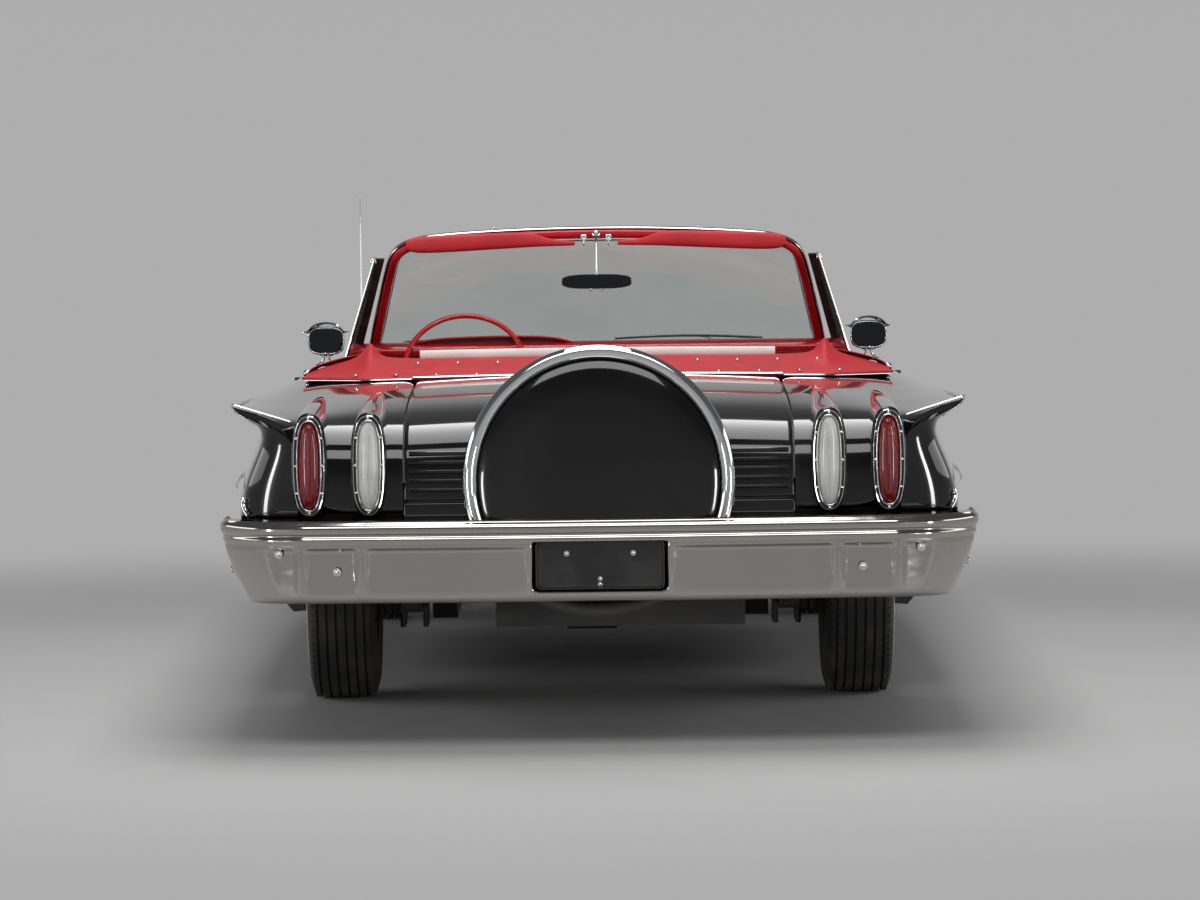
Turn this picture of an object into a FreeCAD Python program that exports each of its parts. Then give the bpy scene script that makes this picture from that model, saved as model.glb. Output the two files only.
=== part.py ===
"""Two-door convertible of about 1960 with the roof folded away and a covered spare wheel on its tail.

The car faces +Y, its right side is +X and +Z is up. The origin is on the ground, below the
middle of the bumper-to-bumper length. All sizes are in millimetres. Each piece of the car is
written to its own STEP file in parts/.
"""

import FreeCAD
import Part
import math
import os
from collections import namedtuple

from FreeCAD import Vector

# ---------------------------------------------------------------- driving dimensions
WHEELBASE = 3048.0
FRONT_OVERHANG = 880.0  # front axle to front bumper face
REAR_OVERHANG = 1760.0  # rear axle to rear bumper face, with the spare wheel between
OVERALL_WIDTH = 2070.0
FRONT_TYRE_IN = 260.5  # front tyre's middle to the widest part of the body side
REAR_TYRE_IN = 273.0  # the same at the rear
TYRE_RADIUS = 345.0
TYRE_WIDTH = 212.0
RIM_RADIUS = 178.0
BELT = 900.0  # height of the crease along the body side
SILL = 290.0  # height of the doors' lower edge
FLOOR_Z = 300.0  # underside of the cabin floor
FLOOR_THICK = 18.0
WALL = 30.0  # thickness of the fender and quarter walls
PANEL = 30.0  # thickness of the hood and of the trunk lid
SHUT_GAP = 5.0  # gap around doors, hood and lid
SEAT_GAP = 0.3  # clearance where one piece is seated on another
HEADER_RISE = 490.0  # top of the windshield header over the belt
SPARE_RADIUS = 367.0
SPARE_THICK = 150.0
RAIL_FRONT_X = 310.0  # inner side of the frame rails at the engine
RAIL_REAR_X = 440.0  # inner side of the frame rails from the cabin back
RAIL_WIDE = 75.0
SPARE_TILT = 5.0  # degrees that the spare leans towards the car
KINGPIN_IN = 84.5  # kingpin to the middle of the front tyre
STEER_ROOM = 75.0  # from the front tyre out to its wheel opening
REAR_ROOM = 55.0  # the same at the rear

# ---------------------------------------------------------------- places that follow
HALF_WIDTH = OVERALL_WIDTH / 2
HEADER_Z = BELT + HEADER_RISE
FRONT_WHEEL_X = HALF_WIDTH - FRONT_TYRE_IN
REAR_WHEEL_X = HALF_WIDTH - REAR_TYRE_IN
KINGPIN_X = FRONT_WHEEL_X - KINGPIN_IN
STEER_ARCH = TYRE_RADIUS + STEER_ROOM
REAR_ARCH = TYRE_RADIUS + REAR_ROOM
LENGTH = WHEELBASE + FRONT_OVERHANG + REAR_OVERHANG
FRONT_AXLE = LENGTH / 2 - FRONT_OVERHANG
REAR_AXLE = FRONT_AXLE - WHEELBASE
NOSE = FRONT_AXLE + FRONT_OVERHANG - 110
TAIL = REAR_AXLE - REAR_OVERHANG + 320
DOOR_FRONT = FRONT_AXLE - 814
DOOR_REAR = REAR_AXLE + 884
HOOD_REAR = FRONT_AXLE - 640
LID_FRONT = REAR_AXLE - 116
HUB_Z = TYRE_RADIUS
DOOR_INNER_X = HALF_WIDTH - 185
CABIN_X = DOOR_INNER_X - 22  # half width of what stands between the doors
SEAM_X = HALF_WIDTH - 500  # half width of the trunk lid opening
FLOOR_TOP = FLOOR_Z + FLOOR_THICK
FLOOR_HALF = DOOR_INNER_X - 15
REAR_HALF = REAR_WHEEL_X - 162 - SEAT_GAP  # half width of the floor between the rear wheel housings
BOOT_BASE = BELT + 53
REAR_FLOOR_Z = 546.0  # underside of the floor over the rear axle
REAR_FLOOR_TOP = REAR_FLOOR_Z + FLOOR_THICK
HEELBOARD = REAR_AXLE + 444
SPINDLE_R = 20.0

# One cross-section of the body's right half. y is the place along the car. Each other column
# is a point (inset from the half width, height over the belt), from the top middle outwards
# and down: the edge of the hood or lid opening, the shoulder beside it, the side crease, the
# hollow under it, the widest part of the side and the lower edge.
Section = namedtuple("Section", "y seam shoulder crease hollow bulge low")

FENDER_SECTIONS = [
    Section(NOSE, (415, -108), (255, -114), (105, -130), (110, -165), (97, -250), (105, -340)),
    Section(FRONT_AXLE + 560, (375, -58), (205, -70), (50, -92), (65, -140), (28, -250), (40, -340)),
    Section(FRONT_AXLE + 446, (369, -47), (199, -62), (45, -84), (61, -132), (23, -250), (36, -340)),
    Section(FRONT_AXLE + 404, (367, -43), (197, -59), (44, -81), (59, -129), (22, -250), (58, -540)),
    Section(FRONT_AXLE, (345, -5), (175, -30), (27, -52), (45, -100), (5, -250), (50, -600)),
    Section(FRONT_AXLE - 500, (335, 30), (165, -3), (23, -28), (43, -78), (0, -250), (50, -610)),
    Section(DOOR_FRONT, (330, 47), (155, 25), (25, -13), (45, -62), (0, -250), (50, -610)),
]
QUARTER_SECTIONS = [
    Section(DOOR_REAR, (185, 50), (155, 45), (32, -2), (50, -50), (0, -250), (50, -610)),
    Section(REAR_AXLE + 250, (185, 52), (165, 45), (31, 4), (50, -50), (0, -250), (50, -610)),
    Section(REAR_AXLE - 60, (260, 52), (200, 35), (30, 8), (55, -52), (0, -250), (50, -600)),
    Section(REAR_AXLE - 110, (500, 50), (200, 33), (30, 8), (56, -52), (0, -250), (50, -598)),
    Section(REAR_AXLE - 700, (500, 38), (194, 8), (25, 15), (70, -58), (7, -250), (60, -560)),
    Section(REAR_AXLE - 1200, (500, 2), (194, -12), (19, 21), (100, -64), (28, -255), (75, -510)),
    Section(TAIL + 84, (500, -23), (194, -17), (20, 23), (113, -65), (40, -268), (82, -480)),
    Section(TAIL + 74, (500, -24), (194, -17), (20, 23), (114, -65), (43, -248), (45, -268)),
    Section(TAIL, (500, -34), (194, -20), (21, 24), (120, -65), (50, -248), (53, -268)),
]
HOOD_CROWN = [  # place along the car, height of the hood's middle over the belt
    (NOSE, -98),
    (FRONT_AXLE + 560, -38),
    (FRONT_AXLE, 24),
    (FRONT_AXLE - 500, 62),
    (HOOD_REAR, 70),
]


def blend(a, b, t):
    """The value t of the way from a to b."""
    return a + (b - a) * t


def point_at(sections, column, y):
    """(x, z) of one named column of the body at a place along the car."""
    rows = sorted(sections, key=lambda row: row.y)
    for low, high in zip(rows, rows[1:]):
        if y <= high.y or high is rows[-1]:
            t = (y - low.y) / (high.y - low.y)
            inset, over = (blend(p, q, t) for p, q in zip(getattr(low, column), getattr(high, column)))
            return HALF_WIDTH - inset, BELT + over


# ---------------------------------------------------------------- shape helpers
def box(x0, x1, y0, y1, z0, z1):
    return Part.makeBox(x1 - x0, y1 - y0, z1 - z0, Vector(x0, y0, z0))


def cylinder(radius, start, end):
    axis = Vector(*end) - Vector(*start)
    return Part.makeCylinder(radius, axis.Length, Vector(*start), axis)


def closed_wire(points):
    points = [Vector(*p) for p in points]
    return Part.makePolygon(points + points[:1])


def loft(outlines):
    """A solid through closed outlines that have equally many corners."""
    return Part.makeLoft([closed_wire(outline) for outline in outlines], True, True)


def extrude(points, along):
    return Part.Face(closed_wire(points)).extrude(Vector(*along))


def mirrored(shape):
    return shape.mirror(Vector(0, 0, 0), Vector(1, 0, 0))


def both(shape):
    return [shape, mirrored(shape)]


def fused(shapes):
    shapes = list(shapes)
    whole = shapes[0].multiFuse(shapes[1:]) if len(shapes) > 1 else shapes[0]
    return whole.removeSplitter()


def across(profile, half, y_shift=0.0):
    """A side-view outline of (y, z) points carried across the car from -half to half."""
    return extrude([(-half, y + y_shift, z) for y, z in profile], (2 * half, 0, 0))


def lowered(shape, gap=SEAT_GAP):
    """The shape a little lower, to cut what is fixed under it."""
    return shape.translated(Vector(0, 0, -gap))


def pipe_run(radius, points):
    """Straight pipes with a ball at each corner."""
    runs = [cylinder(radius, a, b) for a, b in zip(points, points[1:])]
    balls = [Part.makeSphere(radius, Vector(*p)) for p in points[1:-1]]
    return fused(runs + balls)


def stadium(x, z, half_wide, half_high, y0, y1):
    """An upright slot shape with round ends, carried from y0 to y1."""
    straight = half_high - half_wide
    ends = [cylinder(half_wide, (x, y0, z + s * straight), (x, y1, z + s * straight)) for s in (-1, 1)]
    middle = box(x - half_wide, x + half_wide, min(y0, y1), max(y0, y1), z - straight, z + straight)
    return fused(ends + [middle])


# ---------------------------------------------------------------- body walls
def wall_outline(section):
    """The closed outline of a fender or quarter wall: its outer skin, then its inner face."""
    outer = [(HALF_WIDTH - inset, BELT + over) for inset, over in section[1:]]
    seam, shoulder, crease, hollow, bulge, low = outer
    inner = [
        (low[0] - WALL, low[1]),
        (bulge[0] - WALL, bulge[1]),
        (hollow[0] - WALL, hollow[1]),
        (hollow[0] - WALL, min(shoulder[1], crease[1]) - 1.2 * WALL),
        (shoulder[0] - WALL / 2, shoulder[1] - WALL),
        (seam[0], seam[1] - WALL),
    ]
    return [(x, section.y, z) for x, z in outer + inner]


def wheel_cut(y, radius):
    return cylinder(radius, (HALF_WIDTH - 300, y, HUB_Z), (HALF_WIDTH + 100, y, HUB_Z))


LAMP_Z = BELT - 232
LAMP_X = (HALF_WIDTH - 383, HALF_WIDTH - 199)
LAMP_R = 86.0
HINGE_X = HALF_WIDTH - 55
HINGE_Y = DOOR_FRONT - SHUT_GAP - 60
HINGE_HEIGHTS = (SILL + 180, BELT - 160)
HINGE_EYE_R = 12.0
HINGE_ARM_IN = 55.0  # how far inboard of the hinge line its arm turns forwards
HINGE_PIN_R = 7.0
HINGE_HIGH = 30.0  # half the height of a hinge's eye


def door_nose_sweep():
    """The room that the door's front edge turns through, as stacked cones about the hinge line."""
    rings = []
    for column in ("low", "bulge", "hollow", "crease", "shoulder"):
        x, z = point_at(FENDER_SECTIONS, column, DOOR_FRONT)
        reach = math.hypot(max(x - HINGE_X, 0), DOOR_FRONT - SHUT_GAP - HINGE_Y) + SHUT_GAP
        rings.append(Part.Wire(Part.makeCircle(reach, Vector(HINGE_X, HINGE_Y, z))))
    foot = Part.Wire(Part.makeCircle(rings[0].BoundBox.XLength / 2, Vector(HINGE_X, HINGE_Y, SILL - 60)))
    return Part.makeLoft([foot] + rings, True, True)


def front_fender():
    wall = loft([wall_outline(s) for s in FENDER_SECTIONS])
    face = extrude(
        [
            (HALF_WIDTH - 470, NOSE, BELT - 340),
            (HALF_WIDTH - 470, NOSE, BELT - 144),
            (HALF_WIDTH - 415, NOSE, BELT - 142),
            (HALF_WIDTH - 112, NOSE, BELT - 165),
            (HALF_WIDTH - 99, NOSE, BELT - 250),
            (HALF_WIDTH - 107, NOSE, BELT - 340),
        ],
        (0, -WALL, 0),
    )
    pin_y, pin_z = HOOD_PIVOT
    pin = cylinder(8, (HALF_WIDTH - 320, pin_y, pin_z), (HOOD_ARM_X - 14, pin_y, pin_z))
    fender = fused([wall, face, pin])
    holes = [cylinder(LAMP_R, (x, NOSE - 60, LAMP_Z), (x, NOSE + 20, LAMP_Z)) for x in LAMP_X]
    for tool in holes + [wheel_cut(FRONT_AXLE, STEER_ARCH), door_nose_sweep()]:
        fender = fender.cut(tool)
    return fender


TAIL_LAMP_Z = BELT - 133
TAIL_LAMP_X = (HALF_WIDTH - 409, HALF_WIDTH - 247)
TAIL_LAMP_HALF = (45.0, 139.0)
POD_PROUD = 22.0


def rear_quarter():
    wall = loft([wall_outline(s) for s in QUARTER_SECTIONS])
    tail = QUARTER_SECTIONS[-1]
    corners = [tail.seam, tail.shoulder, tail.hollow, tail.bulge, tail.low]
    outline = [(HALF_WIDTH - inset, BELT + over) for inset, over in corners]
    outline += [(HALF_WIDTH - 135, BELT + tail.low[1]), (HALF_WIDTH - 135, 501), (SEAM_X, 501)]
    face = extrude([(x, TAIL, z) for x, z in outline], (0, WALL, 0))
    front = wall_outline(QUARTER_SECTIONS[0])[6:]
    jamb = [(x + 1, DOOR_REAR, max(z, FLOOR_TOP + SEAT_GAP)) for x, _, z in front]
    jamb.append((CABIN_X + 8, DOOR_REAR, BELT + 20))
    jamb += [(CABIN_X + 8, DOOR_REAR, FLOOR_TOP + SEAT_GAP)]
    face = face.fuse(extrude(jamb, (0, -25, 0)))
    pods = [
        stadium(x, TAIL_LAMP_Z, TAIL_LAMP_HALF[0] + 12, TAIL_LAMP_HALF[1] + 8, TAIL + 60, TAIL - POD_PROUD)
        for x in TAIL_LAMP_X
    ]
    pin_y, pin_z = LID_PIVOT
    pin = cylinder(6, (SEAM_X + 8, pin_y, pin_z), (LID_ARM_X - 12, pin_y, pin_z))
    boss = box(SEAM_X + 4, SEAM_X + 30, pin_y - 80, pin_y + 12, pin_z - 20, pin_z + 4)
    quarter = fused([wall, face, pin, boss] + pods)
    for tool in [
        stadium(x, TAIL_LAMP_Z, TAIL_LAMP_HALF[0] - 8, TAIL_LAMP_HALF[1] - 8, TAIL - 40, TAIL - 6)
        for x in TAIL_LAMP_X
    ]:
        quarter = quarter.cut(tool)
    return quarter.cut(wheel_cut(REAR_AXLE, REAR_ARCH))


# ---------------------------------------------------------------- doors
DOOR_SWING_RELIEF = 5.0  # degrees that the door's rear face leans away inside


def door_outline(section):
    outer = [(HALF_WIDTH - inset, BELT + over) for inset, over in section[2:]]
    shoulder, low = outer[0], outer[-1]
    top = (DOOR_INNER_X, shoulder[1] + 1)
    inner = [(low[0], SILL), (DOOR_INNER_X + 25, SILL), (DOOR_INNER_X, SILL + 120), top]
    skin = [(max(x, DOOR_INNER_X + 4), z) for x, z in outer[:-1]]
    return [(x, section.y, z) for x, z in skin + inner]


def at_y(section, y):
    return section._replace(y=y)


def door():
    front = at_y(FENDER_SECTIONS[-1], DOOR_FRONT - SHUT_GAP)
    rear = at_y(QUARTER_SECTIONS[0], DOOR_REAR + SHUT_GAP)
    slab = loft([door_outline(front), door_outline(rear)])
    relief = box(DOOR_INNER_X - 60, HALF_WIDTH - 30, -200, 0, 0, 1200)
    relief.rotate(Vector(HALF_WIDTH - 30, 0, 0), Vector(0, 0, 1), -DOOR_SWING_RELIEF)
    relief.translate(Vector(0, DOOR_REAR + SHUT_GAP, 0))
    slab = slab.cut(relief)
    for z in HINGE_HEIGHTS:
        reach = HINGE_EYE_R + SHUT_GAP + 1
        pocket = box(HINGE_X - 66, HINGE_X + reach, HINGE_Y - reach, DOOR_FRONT, z - 36, z + 36)
        slab = slab.cut(pocket)
        slab = slab.fuse(cylinder(HINGE_PIN_R, (HINGE_X, HINGE_Y, z - 50), (HINGE_X, HINGE_Y, z + 50)))
    return slab.removeSplitter()


def door_hinge_straps():
    """Straps from the hinge posts to an eye around each door's pins."""
    straps = []
    for z in HINGE_HEIGHTS:
        eye = Part.makeCylinder(HINGE_EYE_R, 2 * HINGE_HIGH, Vector(HINGE_X, HINGE_Y, z - HINGE_HIGH))
        # the arm leaves the eye inwards and then turns forwards, so that the turning door passes it
        plan = [
            (HINGE_X - 8, HINGE_Y + 7),
            (HINGE_X - HINGE_ARM_IN + 5, HINGE_Y + 19),
            (HINGE_X - HINGE_ARM_IN + 5, POST_Y),
            (HINGE_X - HINGE_ARM_IN - 5, POST_Y),
            (HINGE_X - HINGE_ARM_IN - 5, HINGE_Y + 10),
            (HINGE_X - 8, HINGE_Y - 4),
        ]
        arm = extrude([(x, y, z - HINGE_HIGH) for x, y in plan], (0, 0, 2 * HINGE_HIGH))
        bore = Part.makeCylinder(HINGE_PIN_R + SEAT_GAP, 80, Vector(HINGE_X, HINGE_Y, z - 40))
        straps.append(eye.fuse(arm).cut(bore).removeSplitter())
    return straps


# ---------------------------------------------------------------- hood and trunk lid
HOOD_PIVOT = (HOOD_REAR - 60, BELT + 30)
HOOD_ARM_X = HALF_WIDTH - 355
LID_PIVOT = (LID_FRONT + 50, BELT + 38)
LID_ARM_X = SEAM_X - 26


def hood():
    outlines = []
    for y, crown in HOOD_CROWN:
        x, z = point_at(FENDER_SECTIONS, "seam", y)
        x, z, top = x - SHUT_GAP, z, BELT + crown
        skin = [(-x, z), (-x / 2, blend(top, z, 0.3)), (0, top), (x / 2, blend(top, z, 0.3)), (x, z)]
        inside = [(p, q - PANEL) for p, q in reversed(skin)]
        outlines.append([(p, y, q) for p, q in skin + inside])
    return loft(outlines)


def hood_arms():
    """Gooseneck arms from the hood's rear corners to the pins on the fenders."""
    pin_y, pin_z = HOOD_PIVOT
    profile = [
        (pin_y - 14, pin_z - 14),
        (HOOD_REAR + 40, pin_z - 46),
        (HOOD_REAR + 60, pin_z - 46),
        (HOOD_REAR + 60, pin_z - 18),
        (HOOD_REAR - 10, pin_z - 22),
        (pin_y + 14, pin_z + 10),
        (pin_y - 10, pin_z + 14),
    ]
    arm = extrude([(HOOD_ARM_X - 10, y, z) for y, z in profile], (20, 0, 0))
    riser = box(HOOD_ARM_X - 10, HOOD_ARM_X + 10, HOOD_REAR + 34, HOOD_REAR + 60, pin_z - 40, BELT + 30)
    bore = cylinder(8 + SEAT_GAP, (HOOD_ARM_X - 40, pin_y, pin_z), (HOOD_ARM_X + 40, pin_y, pin_z))
    return arm.fuse(riser).cut(lowered(hood())).cut(bore)


LID_PROFILE = [  # distance behind the lid's front edge, height over the belt
    (0, 50),
    (584, 40),
    (1050, 6),
    (1200, -28),
    (1290, -88),
    (1312, -160),
    (1318, -232),
]
LID_CROWN = 12.0


def trunk_lid():
    outlines = []
    half = SEAM_X - SHUT_GAP
    part_crown = LID_CROWN * 0.75
    for x, crown in ((-half, 0), (-half / 2, part_crown), (0, LID_CROWN), (half / 2, part_crown), (half, 0)):
        outer = [(LID_FRONT - back, BELT + over + crown) for back, over in LID_PROFILE[:4]]
        outer += [(LID_FRONT - back, BELT + over) for back, over in LID_PROFILE[4:]]
        inner = [
            (LID_FRONT - 1318 + PANEL, BELT - 232),
            (LID_FRONT - 1312 + PANEL, BELT - 160),
            (LID_FRONT - 1290 + PANEL * 1.1, BELT - 100),
            (LID_FRONT - 1190 + PANEL * 0.3, BELT - 28 - PANEL * 1.1 + crown),
            (LID_FRONT - 1050, BELT + 6 - PANEL + crown),
            (LID_FRONT - 584, BELT + 40 - PANEL + crown),
            (LID_FRONT, BELT + 50 - PANEL + crown),
        ]
        outlines.append([(x, y, z) for y, z in outer + inner])
    return loft(outlines)


def lid_arms():
    pin_y, pin_z = LID_PIVOT
    profile = [
        (pin_y + 12, pin_z + 9),
        (pin_y + 12, pin_z - 62),
        (LID_FRONT - 120, pin_z - 62),
        (LID_FRONT - 120, BELT + 32),
        (LID_FRONT - 100, BELT + 32),
        (LID_FRONT - 100, pin_z - 40),
        (pin_y - 12, pin_z - 40),
        (pin_y - 12, pin_z + 9),
    ]
    arm = extrude([(LID_ARM_X - 9, y, z) for y, z in profile], (18, 0, 0))
    bore = cylinder(6 + SEAT_GAP, (LID_ARM_X - 40, pin_y, pin_z), (LID_ARM_X + 40, pin_y, pin_z))
    return arm.cut(lowered(trunk_lid())).cut(bore)


# ---------------------------------------------------------------- cowl, floor and tail
POST_X = HALF_WIDTH - 85
POST_Y = DOOR_FRONT + 12
COWL_EDGE = DOOR_FRONT - 190  # rear edge of the panel under the windshield
COWL_THICK = 20.0
WING_TOP = BELT + 27


def cowl_block(thick):
    """The crowned panel ahead of the windshield, between the hood's arms."""
    outlines = []
    half = HOOD_ARM_X - 20
    for y, drop in ((HOOD_REAR - SHUT_GAP, 45), (HOOD_REAR - 90, 6), (COWL_EDGE, 0)):
        top, side = BELT + 82 - drop, BELT + 48 - drop
        skin = [(-half, side), (0, top), (half, side)]
        inside = [(p, q - thick) for p, q in reversed(skin)]
        outlines.append([(p, y, q) for p, q in skin + inside])
    return loft(outlines)


def cowl():
    inner_x = HOOD_ARM_X - 20
    wing = box(inner_x - 5, CABIN_X, COWL_EDGE, DOOR_FRONT - SHUT_GAP, WING_TOP - COWL_THICK, WING_TOP)
    firewall = box(-CABIN_X, CABIN_X, DOOR_FRONT + 30, DOOR_FRONT + 45, FLOOR_Z, BELT - 12)
    firewall = firewall.cut(tunnel_solid(DOOR_FRONT, DOOR_FRONT + 100, 0))
    upper = box(-inner_x, inner_x, DOOR_FRONT + 30, DOOR_FRONT + 45, BELT - 20, BELT + 35)
    post = box(CABIN_X - 12, POST_X, POST_Y, POST_Y + 80, SILL, BELT - 45)
    brace = box(CABIN_X - 12, CABIN_X, DOOR_FRONT - 60, POST_Y + 30, BELT - 120, WING_TOP - 2)
    whole = fused([cowl_block(COWL_THICK), firewall, upper] + both(wing) + both(post) + both(brace))
    for fender in both(lowered(front_fender())):
        whole = whole.cut(fender)
    return whole


TUNNEL_HALF = 125.0
TUNNEL_TOP = 446.0


def tunnel_solid(y0, y1, inset):
    """The hump over the transmission and drive shaft, its foot at the floor's underside."""
    top, half = TUNNEL_TOP + FLOOR_THICK - inset, TUNNEL_HALF + FLOOR_THICK - inset
    corners = [(-half - 15, FLOOR_Z - 1), (-half, top - 60), (-half + 40, top)]
    corners += [(-x, z) for x, z in reversed(corners)]
    return extrude([(x, y0, z) for x, z in corners], (0, y1 - y0, 0))


def floor_pan():
    front = DOOR_FRONT + 30
    half = REAR_HALF
    main = box(-FLOOR_HALF, FLOOR_HALF, HEELBOARD, front, FLOOR_Z, FLOOR_TOP)
    hump = tunnel_solid(HEELBOARD, front, 0)
    heel = box(-half, half, HEELBOARD, HEELBOARD + FLOOR_THICK, FLOOR_Z, REAR_FLOOR_TOP)
    hollow = tunnel_solid(HEELBOARD - 10, front + 10, FLOOR_THICK)
    below = box(-400, 400, HEELBOARD - 10, front + 10, FLOOR_Z - 20, FLOOR_Z)
    rear = box(-half, half, TAIL + WALL, HEELBOARD + FLOOR_THICK, REAR_FLOOR_Z, REAR_FLOOR_TOP)
    wide_half = HALF_WIDTH - 175
    wide = box(-wide_half, wide_half, TAIL + WALL, REAR_AXLE - 430, REAR_FLOOR_Z, REAR_FLOOR_TOP)
    return fused([fused([main, hump, heel]).cut(hollow).cut(below), rear, wide] + well_wall()).cut(cowl())


def well_wall():
    """Pieces of the wall and ledge between the folded roof and the trunk, with room for the lid's arms."""
    back = LID_FRONT + 14
    between = LID_ARM_X - 25
    lower = box(-REAR_HALF, REAR_HALF, back, back + 10, REAR_FLOOR_TOP - 1, BELT - 60)
    upper = box(-between, between, back, back + 10, BELT - 61, BOOT_BASE - 1)
    ledge = box(-between, between, back, back + 80, BOOT_BASE - 10, BOOT_BASE)
    return [lower, upper, ledge]


def rocker_panel():
    front, rear = DOOR_FRONT + 60, DOOR_REAR - 60
    inner_x, outer_x = FLOOR_HALF + SEAT_GAP, HALF_WIDTH - 52
    corners = [(inner_x, FLOOR_TOP), (inner_x, 205), (outer_x - 18, 195), (outer_x, 215)]
    corners += [(outer_x, SILL - 6), (inner_x + 10, SILL - 6), (inner_x + 10, FLOOR_TOP)]
    return extrude([(x, rear, z) for x, z in corners], (0, front - rear, 0)).cut(post_room())


def post_room():
    """Where the foot of the hinge post stands."""
    return box(CABIN_X - 13, POST_X + 1, POST_Y - 1, POST_Y + 81, SILL - 1, BELT)


def wheel_housing(axle_y, radius, x_in, wall, panel):
    """A half tunnel over a wheel, out to the inner face of the panel outside it."""
    x_out = HALF_WIDTH - 51
    shell = cylinder(radius + 8, (x_in, axle_y, HUB_Z), (x_out, axle_y, HUB_Z))
    shell = shell.cut(cylinder(radius, (x_in + wall, axle_y, HUB_Z), (x_out + 5, axle_y, HUB_Z)))
    if not wall:
        shell = shell.cut(cylinder(radius, (x_in - 5, axle_y, HUB_Z), (x_out, axle_y, HUB_Z)))
    keep = box(0, HALF_WIDTH, axle_y - radius - 20, axle_y + radius + 20, HUB_Z + 55, HUB_Z + radius + 20)
    return shell.common(keep).cut(panel.translated(Vector(-2 * SEAT_GAP, 0, 0)))


def tail_panel():
    panel = box(-SEAM_X + SEAT_GAP, SEAM_X - SEAT_GAP, TAIL, TAIL + WALL, 501, BELT - 238)
    return fused([panel] + both(gravel_pan()))


PAN_Z = 622.0


def gravel_pan():
    """The shelf that fills the gap between the tail and the bumper, beside the spare."""
    plan = [
        (SPARE_RADIUS + 22, TAIL + 1),
        (HALF_WIDTH - 75, TAIL + 1),
        (HALF_WIDTH - 75, REAR_BUMPER_Y + 175),
        (SPARE_RADIUS + 22, REAR_BUMPER_Y + 55),
    ]
    shelf = extrude([(x, y, PAN_Z - 6) for x, y in plan], (0, 0, 6))
    return shelf.cut(rear_bumper().translated(Vector(0, SEAT_GAP, 0))).cut(lowered(rear_quarter()))


# ---------------------------------------------------------------- bumpers
FRONT_BUMPER_Y = LENGTH / 2
REAR_BUMPER_Y = -LENGTH / 2
BumperPoint = namedtuple("BumperPoint", "inset back")  # from the half width; from the face
BUMPER_THICK = 55.0  # at the middle
BUMPER_THIN = 26.0  # where it wraps round the side
WRAP_INSET = 240.0


def bumper_band(points, face_y, direction, z0, z1, narrow):
    """A bent band across the car. direction is +1 for the front bumper and -1 for the rear."""
    outlines = []
    for z, slim in ((z0, narrow), (z1, 0.0)):
        loop = []
        for p in points:
            slope = slim if p.inset < WRAP_INSET else slim * 0.5
            loop.append((max(HALF_WIDTH - p.inset - slope, 0), face_y - direction * p.back))
        for p in reversed(points):
            slope = slim if p.inset < WRAP_INSET else slim * 0.5
            in_x, in_y = (BUMPER_THIN, 0) if p.back > 300 else (BUMPER_THIN, BUMPER_THICK)
            in_x = 0 if p.inset > 200 else in_x
            loop.append((max(HALF_WIDTH - p.inset - slope - in_x, 0), face_y - direction * (p.back + in_y)))
        outlines.append([(x, y, z) for x, y in loop])
    half = loft(outlines)
    return fused(both(half))


REAR_BUMPER = [
    BumperPoint(HALF_WIDTH, 0),
    BumperPoint(HALF_WIDTH - 400, 12),
    BumperPoint(235, 34),
    BumperPoint(75, 80),
    BumperPoint(8, 160),
    BumperPoint(12, 380),
]
REAR_BUMPER_Z = (406.0, 626.0)
FRONT_BUMPER = [
    BumperPoint(HALF_WIDTH, 0),
    BumperPoint(HALF_WIDTH - 350, 22),
    BumperPoint(260, 60),
    BumperPoint(85, 130),
    BumperPoint(22, 240),
    BumperPoint(14, 420),
]
FRONT_BUMPER_Z = (385.0, 552.0)
PLATE_HALF = (173.0, 64.0)
PLATE_Z = 508.0
PLATE_DEEP = 26.0
PLATE_HOLE_X = 89.0
PLATE_HOLE_R = 3.5


def rear_bumper():
    band = bumper_band(REAR_BUMPER, REAR_BUMPER_Y, -1, *REAR_BUMPER_Z, 58)
    recess = box(
        -PLATE_HALF[0], PLATE_HALF[0], REAR_BUMPER_Y - 10, REAR_BUMPER_Y + PLATE_DEEP,
        PLATE_Z - PLATE_HALF[1], PLATE_Z + PLATE_HALF[1],
    )
    band = band.cut(recess)
    for side in (-1, 1):
        x = side * PLATE_HOLE_X
        start = Vector(x, REAR_BUMPER_Y - 5, PLATE_Z + 30)
        band = band.cut(cylinder(PLATE_HOLE_R, start, start + Vector(0, 95, 0)))
    return band


def front_bumper():
    return bumper_band(FRONT_BUMPER, FRONT_BUMPER_Y, 1, *FRONT_BUMPER_Z, 16)


# ---------------------------------------------------------------- frame
RailPoint = namedtuple("RailPoint", "y x z high")
RAIL = [
    RailPoint(FRONT_BUMPER_Y - BUMPER_THICK - 22, RAIL_FRONT_X, 440, 90),
    RailPoint(FRONT_AXLE + 480, RAIL_FRONT_X, 400, 90),
    RailPoint(FRONT_AXLE + 150, RAIL_FRONT_X, 360, 100),
    RailPoint(FRONT_AXLE - 220, RAIL_FRONT_X, 360, 100),
    RailPoint(FRONT_AXLE - 560, RAIL_FRONT_X, 200, 100),
    RailPoint(DOOR_FRONT - 150, RAIL_REAR_X, 200, 100),
    RailPoint(HEELBOARD - 6, RAIL_REAR_X, 200, 100),
    RailPoint(REAR_AXLE + 250, RAIL_REAR_X, 446, 100),
    RailPoint(REAR_AXLE - 250, RAIL_REAR_X, 446, 100),
    RailPoint(REAR_AXLE - 450, RAIL_REAR_X, 420, 80),
    RailPoint(REAR_BUMPER_Y + BUMPER_THICK + 14, RAIL_REAR_X, 420, 80),
]
SPRING_X = 555.0
SPRING_WIDE = 50.0
SPRING_ENDS = (REAR_AXLE + 600, REAR_AXLE - 700)
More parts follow.
